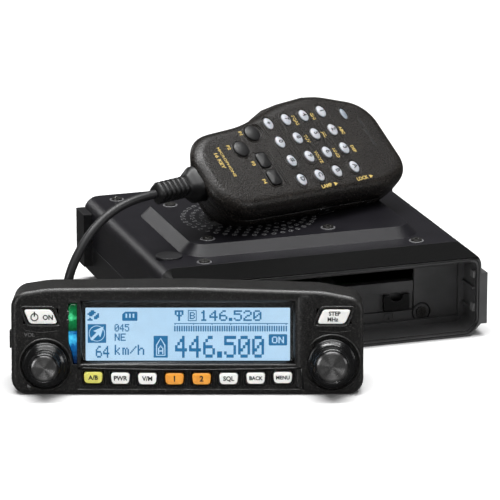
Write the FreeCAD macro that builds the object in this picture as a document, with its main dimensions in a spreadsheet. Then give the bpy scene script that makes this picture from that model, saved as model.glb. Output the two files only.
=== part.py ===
# Mobile transceiver: a radio body with an open dock at its front, a detached
# control head that stands before it, and a keypad hand microphone that lies on it.
# Millimetres, +Z up.  The origin is the middle of the radio body's underside, the
# radio's front faces -Y.
import FreeCAD
import Part
import Sketcher
import math
import os
from types import SimpleNamespace

DIMENSIONS = [
    # radio body
    ("body_width", 142.0),
    ("body_depth", 138.0),
    ("body_height", 38.5),
    ("body_corner", 6.5),
    ("cover_sheet", 1.2),
    ("cover_skirt_low", 18.0),
    ("cover_front", -51.0),
    ("plateau_left", -55.5),
    ("plateau_right", 55.0),
    ("plateau_front", -40.0),
    ("plateau_back", 40.0),
    ("plateau_rise", 4.5),
    ("plateau_corner", 12.0),
    ("grille_x", -14.0),
    ("grille_y", 0.5),
    ("grille_pitch", 4.2),
    ("grille_hole_radius", 0.8),
    ("speaker_radius", 33.0),
    ("speaker_screw_offset", 28.0),
    ("dock_wall", 1.8),
    ("dock_depth", 18.8),
    ("dock_back_wall", 2.0),
    ("cover_button_x", -61.8),
    ("cover_button_y", -34.3),
    ("cover_button_radius", 6.0),
    ("dock_lip_drop", 2.2),
    ("ear_reach", 3.0),
    ("ear_low", 5.2),
    ("ear_high", 28.5),
    ("ear_length", 12.0),
    ("rear_ear_reach", 4.0),
    ("rear_ear_low", 9.0),
    ("rear_ear_high", 33.8),
    ("tray_wall", 2.4),
    ("rear_block_front", 50.0),
    ("fan_side", 30.0),
    ("fan_thick", 8.0),
    ("fan_hub_radius", 6.0),
    ("fan_blade_radius", 13.2),
    ("antenna_x", 48.0),
    ("antenna_z", 20.0),
    ("antenna_radius", 7.9),
    ("antenna_length", 12.0),
    ("bracket_hole_radius", 1.65),
    ("bracket_hole_spacing", 40.0),
    ("bracket_hole_height", 11.0),
    ("bracket_boss_length", 8.0),
    # control head, in its own frame: x to the right, y up the face, z out of it
    ("head_left", 75.4),
    ("head_right", 73.2),
    ("head_depth", 28.0),
    ("head_crown", 46.0),
    ("crown_left_x", 60.0),
    ("crown_left_y", 45.6),
    ("crown_right_x", 56.0),
    ("crown_right_y", 44.3),
    ("shoulder_left", 43.2),
    ("shoulder_right", 40.9),
    ("head_split", 12.0),
    ("head_wall", 2.0),
    ("face_wall", 2.5),
    ("head_corner", 7.0),
    ("head_tilt", 9.0),
    ("screen_left", -46.4),
    ("screen_right", 44.6),
    ("screen_low", 12.9),
    ("screen_high", 40.2),
    ("guide_left", -51.1),
    ("guide_width", 3.4),
    ("volume_x", -61.0),
    ("volume_y", 13.0),
    ("volume_seat", 10.3),
    ("dial_x", 59.8),
    ("dial_y", 13.7),
    ("dial_seat", 11.4),
    ("knob_reach", 11.5),
    ("stem_radius", 3.0),
    ("top_key_y", 33.5),
    ("power_key_x", -62.8),
    ("band_key_x", 60.7),
    ("top_key_width", 14.2),
    ("top_key_height", 6.1),
    ("row_key_first", -40.8),
    ("row_key_pitch", 11.42),
    ("row_key_y", 6.9),
    ("row_key_width", 8.2),
    ("row_key_height", 4.9),
    ("key_gap", 0.3),
    ("key_proud", 0.9),
    # hand microphone, in its own frame: x along it, z out of the keypad face
    ("mic_tail", -63.0),
    ("mic_nose", 49.0),
    ("mic_thick", 30.0),
    ("mic_bevel_outer", 27.8),
    ("mic_split", 11.0),
    ("mic_wall", 2.0),
    ("mic_bevel_half", 11.5),
    ("mic_bevel_start", 15.4),
    ("keypad_row_first", 18.6),
    ("keypad_row_pitch", 10.7),
    ("keypad_column_first", 15.6),
    ("keypad_column_pitch", 10.4),
    ("keypad_key_long", 3.3),
    ("keypad_key_short", 2.3),
    ("keypad_key_proud", 1.0),
    ("boot_axis_depth", 9.7),
    ("boot_end", -85.0),
    # cord and its plug
    ("cord_diameter", 4.0),
    ("coil_x", -97.2),
    ("coil_y", -19.6),
    ("coil_inner", 14.0),
    ("coil_outer", 26.0),
    ("coil_height", 8.0),
    ("plug_width", 11.7),
    ("plug_length", 22.0),
    ("plug_height", 8.0),
]

# The microphone's outline: each corner's place, the way in from it, and its radius.
MIC_CORNERS = [
    (-63.0, -22.5, 1.0, 1.0, 18.0),
    (32.0, -28.6, 0.0, 1.0, 30.0),
    (49.0, -23.5, -1.0, 0.7, 12.0),
    (48.5, 15.5, -1.0, -0.5, 17.0),
    (20.0, 27.4, 0.0, -1.0, 36.0),
    (0.0, 26.2, 0.0, -1.0, 60.0),
    (-26.0, 19.8, 0.0, -1.0, -60.0),
    (-63.0, 19.2, 1.0, -1.0, 17.0),
]

HEAD_YAW = -18.12
HEAD_CORNER = FreeCAD.Vector(-75.3, -107.8, 0.0)
MIC_YAW = 24.0
MIC_ROLL = 42.0
MIC_CENTRE = FreeCAD.Vector(13.72, -0.18, 73.16)

# The centreline of the cord from the strain relief down to its coil.
CORD_ROUTE = [
    (-66.6, -28.8, 65.95),
    (-78.0, -33.9, 65.95),
    (-90.2, -39.0, 62.3),
    (-100.2, -43.1, 55.2),
    (-107.4, -46.3, 45.9),
    (-111.9, -48.7, 37.0),
    (-112.9, -49.4, 24.4),
    (-106.6, -47.6, 12.2),
    (-96.3, -44.4, 6.0),
    (-84.6, -40.8, 6.0),
]

doc = FreeCAD.newDocument("mobile_transceiver")
sheet = doc.addObject("Spreadsheet::Sheet", "Sizes")
nodes = []


class Size:
    """A length known both as a number and as a formula over the sheet."""

    def __init__(self, number, formula):
        self.number = number
        self.formula = formula

    def join(self, sign, other, number):
        return Size(number, f"({self.formula} {sign} {other.formula})")

    def __add__(self, other):
        other = as_size(other)
        return self.join("+", other, self.number + other.number)

    def __radd__(self, other):
        return as_size(other) + self

    def __sub__(self, other):
        other = as_size(other)
        return self.join("-", other, self.number - other.number)

    def __rsub__(self, other):
        return as_size(other) - self

    def __mul__(self, other):
        other = as_size(other)
        return self.join("*", other, self.number * other.number)

    def __rmul__(self, other):
        return as_size(other) * self

    def __truediv__(self, other):
        other = as_size(other)
        return self.join("/", other, self.number / other.number)

    def __neg__(self):
        return as_size(0) - self


def as_size(value):
    if isinstance(value, Size):
        return value
    return Size(float(value), f"({float(value)!r})")


def fill_sheet():
    """Write the driving dimensions and hand back their names as Sizes."""
    names = {}
    for row, (alias, number) in enumerate(DIMENSIONS, start=1):
        sheet.set(f"A{row}", alias)
        sheet.set(f"B{row}", str(number))
        sheet.setAlias(f"B{row}", alias)
        names[alias] = Size(number, f"Sizes.{alias}")
    doc.recompute()
    return SimpleNamespace(**names)


dim = fill_sheet()
half_width = dim.body_width / 2
front = -dim.body_depth / 2
rear = dim.body_depth / 2

head_frame = FreeCAD.Placement(
    HEAD_CORNER,
    FreeCAD.Rotation(FreeCAD.Vector(0, 0, 1), HEAD_YAW)
    * FreeCAD.Rotation(FreeCAD.Vector(1, 0, 0), 90.0 - dim.head_tilt.number),
)
mic_frame = FreeCAD.Placement(
    MIC_CENTRE,
    FreeCAD.Rotation(FreeCAD.Vector(0, 0, 1), MIC_YAW)
    * FreeCAD.Rotation(FreeCAD.Vector(1, 0, 0), MIC_ROLL),
)

TURN_TO = {
    "z": FreeCAD.Rotation(),
    "x": FreeCAD.Rotation(FreeCAD.Vector(0, 1, 0), 90),
    "y": FreeCAD.Rotation(FreeCAD.Vector(1, 0, 0), -90),
}


# ---------------------------------------------------------------- builders
def bind(item, path, value):
    item.setExpression(path, as_size(value).formula)


def move_to(item, corner):
    for axis, value in zip("xyz", corner):
        bind(item, f"Placement.Base.{axis}", value)


def box(name, low, high):
    """A block from its lowest corner to its highest."""
    item = doc.addObject("Part::Box", name)
    for path, start, end in zip(("Length", "Width", "Height"), low, high):
        bind(item, path, as_size(end) - start)
    move_to(item, low)
    return item


def cylinder(name, start, radius, length, axis="z"):
    item = doc.addObject("Part::Cylinder", name)
    bind(item, "Radius", radius)
    bind(item, "Height", length)
    item.Placement.Rotation = TURN_TO[axis]
    move_to(item, start)
    return item


def ring(name, start, outer, inner, length, axis="z"):
    return cut(name, cylinder(name + "_outer", start, outer, length, axis),
               cylinder(name + "_inner", start, inner, length, axis))


def oval(name, centre, long_radius, short_radius, low, high, turn=90):
    """An upright elliptic block whose long axis lies along Y unless turned."""
    outline = doc.addObject("Part::Ellipse", name + "_outline")
    bind(outline, "MajorRadius", long_radius)
    bind(outline, "MinorRadius", short_radius)
    outline.Placement.Rotation = FreeCAD.Rotation(FreeCAD.Vector(0, 0, 1), turn)
    move_to(outline, (centre[0], centre[1], low))
    item = doc.addObject("Part::Extrusion", name)
    item.Base = outline
    item.DirMode = "Custom"
    item.Dir = FreeCAD.Vector(0, 0, 1)
    item.Solid = True
    bind(item, "LengthFwd", as_size(high) - low)
    return item


def fuse(name, *items):
    item = doc.addObject("Part::MultiFuse", name)
    item.Shapes = list(items)
    return item


def cut(name, base, *tools):
    item = doc.addObject("Part::Cut", name)
    item.Base = base
    item.Tool = tools[0] if len(tools) == 1 else fuse(name + "_tools", *tools)
    return item


def common(name, first, second):
    item = doc.addObject("Part::Common", name)
    item.Base = first
    item.Tool = second
    return item


def new_body(name):
    return doc.addObject("PartDesign::Body", name)


def new_sketch(body, name, role, lift=0):
    """A sketch on one of the body's own origin planes, lifted along its normal."""
    sketch = body.newObject("Sketcher::SketchObject", name)
    plane = [item for item in body.Origin.OriginFeatures if item.Role == role][0]
    sketch.AttachmentSupport = [(plane, "")]
    sketch.MapMode = "FlatFace"
    bind(sketch, "AttachmentOffset.Base.z", lift)
    return sketch


def hold(sketch, kind, value, *where):
    index = sketch.addConstraint(Sketcher.Constraint(kind, *where, as_size(value).number))
    bind(sketch, f"Constraints[{index}]", value)


def polygon(sketch, points):
    """A closed outline of straight lines whose corners are all bound."""
    corners = [(as_size(x), as_size(y)) for x, y in points]
    first = sketch.GeometryCount
    count = len(corners)
    for index, (x, y) in enumerate(corners):
        next_x, next_y = corners[(index + 1) % count]
        start = FreeCAD.Vector(x.number, y.number, 0)
        end = FreeCAD.Vector(next_x.number, next_y.number, 0)
        sketch.addGeometry(Part.LineSegment(start, end))
    for index in range(count):
        following = first + (index + 1) % count
        sketch.addConstraint(
            Sketcher.Constraint("Coincident", first + index, 2, following, 1))
    for index, (x, y) in enumerate(corners):
        hold(sketch, "DistanceX", x, -1, 1, first + index, 1)
        hold(sketch, "DistanceY", y, -1, 1, first + index, 1)


def rectangle(sketch, left, low, right, high):
    polygon(sketch, [(left, low), (right, low), (right, high), (left, high)])


def circle(sketch, x, y, radius):
    x, y, radius = as_size(x), as_size(y), as_size(radius)
    centre = FreeCAD.Vector(x.number, y.number, 0)
    index = sketch.addGeometry(
        Part.Circle(centre, FreeCAD.Vector(0, 0, 1), radius.number))
    hold(sketch, "Radius", radius, index)
    hold(sketch, "DistanceX", x, -1, 1, index, 3)
    hold(sketch, "DistanceY", y, -1, 1, index, 3)


def pad(body, sketch, length, backwards=False, taper=0):
    feature = body.newObject("PartDesign::Pad", sketch.Name + "_pad")
    feature.Profile = sketch
    feature.Reversed = backwards
    bind(feature, "Length", length)
    bind(feature, "TaperAngle", taper)
    sketch.Visibility = False
    return feature


def pocket(body, sketch, length, backwards=False, both_ways=False, taper=0):
    """Cut a sketch into the body, and make sure that it has cut something."""
    doc.recompute()
    before = body.Shape.Volume
    feature = body.newObject("PartDesign::Pocket", sketch.Name + "_pocket")
    feature.Profile = sketch
    feature.Reversed = backwards
    feature.Midplane = both_ways
    bind(feature, "Length", length)
    bind(feature, "TaperAngle", taper)
    doc.recompute()
    if body.Shape.Volume > before - 0.01:
        raise ValueError(f"{sketch.Name} cuts nothing")
    return feature


def revolve(body, sketch, axis_name):
    feature = body.newObject("PartDesign::Revolution", sketch.Name + "_turned")
    feature.Profile = sketch
    feature.ReferenceAxis = (sketch, [axis_name])
    feature.Angle = 360
    return feature


def dress(body, kind, size_property, size, chosen):
    """Round or chamfer those edges of the body's tip that a rule picks."""
    doc.recompute()
    tip = body.Tip
    picked = [f"Edge{index}" for index, edge in enumerate(tip.Shape.Edges, start=1)
              if chosen(edge)]
    if not picked:
        raise ValueError(f"{body.Name}: no edge to dress")
    feature = body.newObject(f"PartDesign::{kind}", f"{body.Name}_{kind.lower()}")
    feature.Base = (tip, picked)
    bind(feature, size_property, size)
    doc.recompute()
    return feature


def round_edges(body, radius, chosen):
    return dress(body, "Fillet", "Radius", radius, chosen)


def chamfer_edges(body, size, chosen):
    return dress(body, "Chamfer", "Size", size, chosen)


def along(edge, axis):
    """True for a straight edge that runs along an axis."""
    start, end = edge.Vertexes[0].Point, edge.Vertexes[-1].Point
    span = end - start
    other = [abs(getattr(span, name)) for name in "xyz" if name != axis]
    return max(other) < 1e-4 and abs(getattr(span, axis)) > 1e-3


def level(edge, axis, value):
    """True for an edge that lies whole in a plane across an axis."""
    box_of_edge = edge.BoundBox
    low = getattr(box_of_edge, axis.upper() + "Min")
    high = getattr(box_of_edge, axis.upper() + "Max")
    value = as_size(value).number
    return abs(low - value) < 0.02 and abs(high - value) < 0.02


def add_node(label, item, frame=None):
    """Name a finished sub-part and put it into its assembly's frame."""
    item.Label = label
    if frame is not None:
        item.Placement = frame
    nodes.append(item)


def shape_node(label, shape, frame=None):
    """A sub-part whose shape is made with Part's own functions."""
    item = doc.addObject("Part::Feature", label + "_shape")
    item.Shape = shape
    add_node(label, item, frame)


# ---------------------------------------------------------------- radio body
def speaker_screw_places():
    return [(dim.grille_x + x * dim.speaker_screw_offset,
             dim.grille_y + y * dim.speaker_screw_offset)
            for x in (-1, 1) for y in (-1, 1)]


def cover_screw_places():
    return [(-49.5, -46.5), (49.5, -44.5), (-58.0, 60.0), (58.0, 60.0)]


def grille_holes():
    """Rings of small holes, six more in each ring than in the one inside it."""
    low = dim.body_height.number
    pitch = dim.grille_pitch.number
    centre = FreeCAD.Vector(dim.grille_x.number, dim.grille_y.number, low)
    holes = []
    for ring_number in range(8):
        count = max(1, 6 * ring_number)
        for index in range(count):
            angle = 2 * math.pi * index / count
            radius = ring_number * pitch
            place = centre + FreeCAD.Vector(radius * math.cos(angle), radius * math.sin(angle), 0)
            holes.append(Part.makeCylinder(
                dim.grille_hole_radius.number, dim.plateau_rise.number + 2, place))
    item = doc.addObject("Part::Feature", "grille_holes")
    item.Shape = Part.makeCompound(holes)
    return item


def raise_plateau(body, name, level_height):
    """A block with rounded corners whose top edges are bevelled into slopes."""
    foot = new_sketch(body, name, "XY_Plane", level_height)
    rectangle(foot, dim.plateau_left, dim.plateau_front, dim.plateau_right, dim.plateau_back)
    pad(body, foot, dim.plateau_rise)
    top = as_size(level_height).number + dim.plateau_rise.number
    round_edges(body, dim.plateau_corner, lambda edge: along(edge, "z")
                and edge.BoundBox.ZMax > top - 0.1)
    chamfer_edges(body, dim.plateau_rise - 0.01, lambda edge: level(edge, "z", top))


def make_top_cover():
    """Pressed steel lid: top, two skirts and a raised speaker plateau."""
    body = new_body("cover_press")
    section = new_sketch(body, "cover_section", "XZ_Plane", -dim.cover_front)
    rectangle(section, -half_width, dim.cover_skirt_low, half_width, dim.body_height)
    pad(body, section, rear - dim.cover_front, backwards=True)
    round_edges(body, dim.body_corner, lambda edge: along(edge, "y")
                and edge.Vertexes[0].Z > dim.body_height.number - 0.1)
    raise_plateau(body, "plateau_foot", dim.body_height)
    inner = new_body("cover_hollow")
    hollow = new_sketch(inner, "hollow_section", "XZ_Plane", -dim.cover_front + 1)
    rectangle(hollow, -half_width + dim.cover_sheet, dim.cover_skirt_low - 1,
              half_width - dim.cover_sheet, dim.body_height - dim.cover_sheet)
    pad(inner, hollow, rear - dim.cover_front + 2, backwards=True)
    round_edges(inner, dim.body_corner - dim.cover_sheet, lambda edge: along(edge, "y")
                and edge.Vertexes[0].Z > 30)
    raise_plateau(inner, "hollow_foot", dim.body_height - dim.cover_sheet)
    button = cylinder("cover_button", (dim.cover_button_x, dim.cover_button_y,
                                       dim.body_height - 0.6), dim.cover_button_radius, 1.3)
    screws = [cylinder(f"cover_screw_hole_{index}", (x, y, 30), 1.5, 20)
              for index, (x, y) in enumerate(cover_screw_places())]
    screws += [cylinder(f"speaker_screw_hole_{index}", (x, y, 30), 1.5, 20)
               for index, (x, y) in enumerate(speaker_screw_places())]
    add_node("top_cover", cut("cover_shell", fuse("cover_blank", body, button), inner,
                              grille_holes(), *screws))


def make_chassis():
    """Die-cast tray under the cover, with the cooling fins at the rear."""
    tray_top = dim.cover_skirt_low - 0.2
    body = new_body("tray")
    outline = new_sketch(body, "tray_outline", "XZ_Plane", -dim.cover_front)
    rectangle(outline, -half_width, 0, half_width, tray_top)
    pad(body, outline, rear - dim.cover_front, backwards=True)
    chamfer_edges(body, 5, lambda edge: along(edge, "y") and edge.Vertexes[0].Z < 0.1)
    inside = half_width - dim.tray_wall
    fan_half = dim.fan_side / 2
    upper = new_body("tray_upper")
    upper_outline = new_sketch(upper, "tray_upper_outline", "XZ_Plane", -dim.rear_block_front)
    rectangle(upper_outline, -half_width + dim.cover_sheet + 0.2, tray_top - 1,
              half_width - dim.cover_sheet - 0.2, dim.body_height - dim.cover_sheet - 0.2)
    pad(upper, upper_outline, rear - dim.rear_block_front - 0.4, backwards=True)
    round_edges(upper, dim.body_corner - dim.cover_sheet, lambda edge: along(edge, "y")
                and edge.Vertexes[0].Z > 30)
    recess = box("dock_recess", (-half_width + 2.4, dim.cover_front - 1, 2.4),
                 (half_width - 2.4, dim.cover_front + 3.2, dim.body_height))
    socket_window = box("socket_window", (-46.5, dim.cover_front, 6.5),
                        (47.5, dim.cover_front + 7, dim.body_height))
    room = box("tray_room", (-inside - 1, dim.cover_front + 5.4, 5),
               (inside + 1, dim.rear_block_front, dim.body_height))
    low_room = box("tray_low_room", (-half_width + 6.4, dim.cover_front + 5.4, 2.4),
                   (half_width - 6.4, dim.rear_block_front, 6))
    screw_wells = [cylinder(f"cover_screw_well_{index}", (x, y, dim.body_height - 6), 1.5, 8)
                   for index, (x, y) in enumerate(cover_screw_places())]
    fan_bay = box("fan_bay", (-fan_half - 0.3, rear - dim.fan_thick - 3, 3.5),
                  (fan_half + 0.3, rear + 1, 34.1))
    fan_throat = cylinder("fan_throat", (0, dim.rear_block_front - 1, 18.8), 13.6, 12, "y")
    jack_bay = box("jack_bay", (-63, dim.rear_block_front - 1, 5), (-24, rear - 3, 33))
    jack_window = box("jack_window", (-61, rear - 4, 8), (-26, rear + 1, 30))
    antenna_hole = cylinder("antenna_hole", (dim.antenna_x, dim.rear_block_front - 1,
                                             dim.antenna_z), 6.2, 25, "y")
    slots = [box(f"fin_slot_{index}", (left, rear - 13, 6), (left + 2.2, rear + 1, 33))
             for index, left in enumerate((-18.9, 20.5, 24.7, 28.9))]
    slots += [box(f"outer_fin_slot_{index}", (left, rear - 13, 8), (left + 2.2, rear + 1, 33))
              for index, left in enumerate((58.6, 62.8))]
    bosses = []
    holes = []
    for side in (-1, 1):
        for place in (-0.5, 0.5):
            tag = f"{'left' if side < 0 else 'right'}_{'front' if place < 0 else 'back'}"
            y = place * dim.bracket_hole_spacing
            start = -half_width if side < 0 else half_width - dim.bracket_boss_length
            boss_start = -half_width + 1 if side < 0 else half_width - dim.bracket_boss_length
            bosses.append(cylinder(f"bracket_boss_{tag}", (boss_start, y, dim.bracket_hole_height),
                                   4.2, dim.bracket_boss_length - 1, "x"))
            holes.append(cylinder(f"bracket_hole_{tag}", (start - 0.5 if side < 0 else start,
                                                          y, dim.bracket_hole_height),
                                  dim.bracket_hole_radius, dim.bracket_boss_length + 0.5, "x"))
    ears = []
    for name, side in (("left", -1), ("right", 1)):
        outer = side * (half_width + dim.rear_ear_reach)
        root = side * (half_width - 1)
        flank = side * (half_width + 0.05)
        for part, inner, low, high in (("root", root, dim.rear_ear_low, dim.cover_skirt_low - 0.6),
                                       ("tip", flank, dim.cover_skirt_low - 1, dim.rear_ear_high)):
            left, right = (outer, inner) if side < 0 else (inner, outer)
            ears.append(box(f"rear_ear_{name}_{part}", (left, rear - 13, low),
                            (right, rear - 0.4, high)))
    shell = cut("tray_shell", fuse("tray_blank", body, upper), room, low_room, recess,
                socket_window)
    whole = fuse("tray_whole", shell, *bosses, *ears)
    add_node("chassis", cut("tray_finished", whole, fan_bay, fan_throat, jack_bay, jack_window,
                            antenna_hole, *slots, *holes, *screw_wells))


def make_dock_frame():
    """Moulded frame at the front whose open bay takes the control head."""
    wall = dim.dock_wall
    body = new_body("dock")
    outline = new_sketch(body, "dock_outline", "XZ_Plane", -front)
    rectangle(outline, -half_width, 0, half_width, dim.body_height)
    pad(body, outline, dim.cover_front - front - 0.2, backwards=True)
    round_edges(body, dim.body_corner, lambda edge: along(edge, "y")
                and edge.Vertexes[0].Z > 30)
    chamfer_edges(body, 5, lambda edge: along(edge, "y") and edge.Vertexes[0].Z < 0.1)
    slope = new_sketch(body, "dock_slope", "YZ_Plane")
    polygon(slope, [(front - 1, dim.body_height - dim.dock_lip_drop - 0.2),
                    (dim.cover_front, dim.body_height + 0.001),
                    (dim.cover_front, dim.body_height + 5),
                    (front - 1, dim.body_height + 5)])
    pocket(body, slope, dim.body_width + 4, both_ways=True)
    tenon = new_body("dock_tenon")
    tenon_outline = new_sketch(tenon, "tenon_outline", "XZ_Plane", -dim.cover_front + 0.4)
    rectangle(tenon_outline, -half_width + 2.8, 2.8, half_width - 2.8,
              dim.body_height - dim.cover_sheet - 0.3)
    back_face = front + dim.dock_depth + dim.dock_back_wall
    pad(tenon, tenon_outline, back_face - dim.cover_front + 0.4, backwards=True)
    round_edges(tenon, 4, lambda edge: along(edge, "y"))
    bay = new_body("dock_bay")
    mouth = new_sketch(bay, "bay_mouth", "XZ_Plane", -front + 1)
    rectangle(mouth, -half_width + wall, wall, half_width - wall,
              dim.body_height - dim.dock_lip_drop - wall)
    pad(bay, mouth, dim.dock_depth - 1.5, backwards=True)
    round_edges(bay, 4.5, lambda edge: along(edge, "y"))
    deep_bay = box("dock_deep_bay", (-half_width + 4.4, front, 4.4),
                   (half_width - 4.4, front + dim.dock_depth, 32.5))
    window = box("dock_window", (-46, front, 8.5), (46.5, dim.cover_front + 4, 28))
    screw = [cylinder(f"dock_screw_hole_{index}", (x, front, 7.2), 1.5, 25, "y")
             for index, x in enumerate((-50, 50))]
    ears = []
    for side in (-1, 1):
        left = side * half_width - (dim.ear_reach if side < 0 else 1)
        right = side * half_width + (1 if side < 0 else dim.ear_reach)
        ears.append(box(f"ear_{side + 1}", (left, front, dim.ear_low),
                        (right, front + dim.ear_length, dim.ear_high)))
    ribs = []
    for side in (-1, 1):
        inner = side * (half_width - wall - 1.2)
        outer = side * (half_width - wall + 0.4)
        low_x, high_x = (outer, inner) if side < 0 else (inner, outer)
        for index, height in enumerate((10.5, 20.5)):
            ribs.append(box(f"dock_rib_{side + 1}_{index}", (low_x, front + 3, height),
                            (high_x, front + 16, height + 1)))
    shell = cut("dock_shell", fuse("dock_blank", body, tenon), bay, deep_bay, window, *screw)
    add_node("dock_frame", fuse("dock_finished", shell, *ears, *ribs))


def make_bay_jacks():
    """Socket block behind the dock's window, with the memory card slot."""
    face = front + dim.dock_depth + 0.8
    back = face + 3
    block = box("socket_block", (-45.7, face, 8.8), (46.2, back + 0.4, 22))
    shelf = box("socket_shelf", (-45.7, face - 0.4, 17), (46.2, face + 1, 22))
    housing = box("socket_housing", (-44, back, 7), (-2, back + 11, 22))
    card_cage = box("card_cage", (28, back, 9.5), (47, back + 11, 15))
    card_slot = box("card_slot", (32.2, face - 1, 12), (43.8, back + 9, 13.2))
    thumb = cylinder("thumb_notch", (38, face - 1, 13.2), 4, 3, "y")
    jacks = [box(f"jack_{index}", (left, face - 1, 9.6), (left + 11.9, back + 9.5, 16.4))
             for index, left in enumerate((-40, -20))]
    whole = fuse("sockets_blank", block, shelf, housing, card_cage)
    add_node("bay_jacks", cut("sockets", whole, card_slot, thumb, *jacks))


def make_speaker():
    """Round loudspeaker under the plateau: flange, basket and magnet."""
    body = new_body("speaker_body")
    half = new_sketch(body, "speaker_half", "XZ_Plane")
    radius = dim.speaker_radius - 1.4
    polygon(half, [(0, 24), (14, 24), (14, 30), (radius - 4, 37.4), (radius, 37.4),
                   (radius, 39.2), (radius - 3.5, 39.2), (12, 32.5), (0, 34)])
    revolve(body, half, "V_Axis")
    doc.recompute()
    body.Placement = FreeCAD.Placement(
        FreeCAD.Vector(dim.grille_x.number, dim.grille_y.number, 0), FreeCAD.Rotation())
    add_node("speaker", body)


def make_main_board():
    """Main circuit board on its standoffs, with the screened radio stages."""
    board = box("board", (-62, -34, 9), (62, 47, 10.6))
    screens = [box("screen_can_1", (-56, 20, 10.6), (-22, 44, 16)),
               box("screen_can_2", (18, -30, 10.6), (56, 12, 17)),
               box("heat_spreader", (10, 20, 10.6), (58, 44, 20))]
    posts = [cylinder(f"board_post_{index}", (x, y, 2.4), 3, 7)
             for index, (x, y) in enumerate(((-56, -28), (56, -28), (-56, 41), (56, 41)))]
    add_node("main_board", fuse("board_finished", board, *screens, *posts))


def make_fan():
    """Square fan housing with three struts, and its seven-bladed rotor."""
    fan_half = dim.fan_side / 2
    back = rear - dim.fan_thick - 0.6
    height = 18.8
    housing = box("fan_housing", (-fan_half, back, height - fan_half),
                  (fan_half, back + dim.fan_thick, height + fan_half))
    bore = cylinder("fan_bore", (0, back - 1, height), dim.fan_blade_radius + 0.7,
                    dim.fan_thick + 2, "y")
    motor = cylinder("fan_motor", (0, back, height), dim.fan_hub_radius, 1.6, "y")
    post = cylinder("fan_post", (0, back, height), 1.2, 6, "y")
    struts = [box("strut_up", (-1, back, height), (1, back + 1.2, height + 14.4)),
              box("strut_left", (-14.4, back, height - 1), (0, back + 1.2, height + 1)),
              box("strut_right", (0, back, height - 1), (14.4, back + 1.2, height + 1))]
    add_node("fan_frame", fuse("fan_frame_finished", cut("fan_ring", housing, bore),
                               motor, post, *struts))
    hub_back = back + 1.9
    hub = cylinder("rotor_hub", (0, hub_back, height), dim.fan_hub_radius, 5.6, "y")
    hub_bore = cylinder("rotor_bore", (0, hub_back - 1, height), 1.25, 5.3, "y")
    blades = []
    for index in range(7):
        blade = doc.addObject("Part::Box", f"blade_{index}")
        bind(blade, "Length", dim.fan_blade_radius - dim.fan_hub_radius + 1)
        bind(blade, "Width", 5.2)
        bind(blade, "Height", 0.8)
        angle = 360.0 * index / 7
        spin = FreeCAD.Rotation(FreeCAD.Vector(0, 1, 0), angle)
        pitch = FreeCAD.Rotation(FreeCAD.Vector(1, 0, 0), 28)
        start = FreeCAD.Vector(dim.fan_hub_radius.number - 1, hub_back.number + 0.4, -1.2)
        pose = FreeCAD.Placement(start, pitch)
        turn = FreeCAD.Placement(FreeCAD.Vector(0, 0, height), spin)
        blade.Placement = turn.multiply(pose)
        blades.append(blade)
    swept = fuse("rotor_blank", hub, *blades)
    sweep_limit = cylinder("rotor_limit", (0, hub_back, height), dim.fan_blade_radius, 5.6, "y")
    add_node("fan_rotor", cut("rotor_finished", common("rotor_trimmed", swept, sweep_limit),
                              hub_bore))


def make_antenna_socket():
    """Screw-on coaxial socket: flange, threaded barrel and centre contact."""
    place = (dim.antenna_x, rear, dim.antenna_z)
    flange = box("antenna_flange", (dim.antenna_x - 9, rear, dim.antenna_z - 9),
                 (dim.antenna_x + 9, rear + 1.6, dim.antenna_z + 9))
    barrel = cylinder("antenna_barrel", place, dim.antenna_radius, dim.antenna_length, "y")
    stub = cylinder("antenna_stub", (dim.antenna_x, rear - 12, dim.antenna_z), 6, 12.5, "y")
    mouth = cylinder("antenna_mouth", (dim.antenna_x, rear + 3, dim.antenna_z), 5.8, 20, "y")
    contact = ring("antenna_contact", (dim.antenna_x, rear + 2, dim.antenna_z), 2.6, 2.0, 8, "y")
    add_node("antenna_socket", fuse("antenna_finished", cut(
        "antenna_blank", fuse("antenna_solid", flange, barrel, stub), mouth), contact))


def make_rear_jacks():
    """Power inlet, speaker jacks and data socket in one moulded block."""
    block = box("rear_jack_block", (-60.8, rear - 14, 8.2), (-26.2, rear - 0.4, 29.8))
    inlet = box("power_inlet_hole", (-58.5, rear - 11, 10.2), (-46.5, rear + 1, 19.4))
    pins = [cylinder(f"power_pin_{index}", (x, rear - 12, 14.8), 1, 9, "y")
            for index, x in enumerate((-55.5, -49.5))]
    data = cylinder("data_hole", (-52.5, rear - 9, 25), 3.9, 12, "y")
    speakers = [cylinder(f"speaker_jack_hole_{index}", (x, rear - 12, z), 1.75, 14, "y")
                for index, (x, z) in enumerate(((-40, 24.5), (-31, 24.5), (-31, 14)))]
    usb = box("usb_hole", (-43, rear - 8, 11.5), (-36, rear + 1, 15.7))
    add_node("rear_jacks", fuse("rear_jacks_finished", cut(
        "rear_jacks_blank", block, inlet, data, usb, *speakers), *pins))


def make_radio_screws():
    """Case screws, one node of identical cross-head screws."""
    screws = []
    top = dim.body_height
    for index, (x, y) in enumerate(cover_screw_places()):
        screws.append(screw_solid(f"cover_screw_{index}", (x, y, top), "z", 1))
    for index, (x, y) in enumerate(speaker_screw_places()):
        screws.append(screw_solid(f"speaker_screw_{index}", (x, y, top + dim.plateau_rise), "z", 1))
    for index, x in enumerate((-50, 50)):
        screws.append(screw_solid(f"dock_screw_{index}", (x, front + dim.dock_depth, 7.2),
                                  "y", -1, reach=2.2))
    add_node("radio_screws", fuse("radio_screws_all", *screws))


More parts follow.
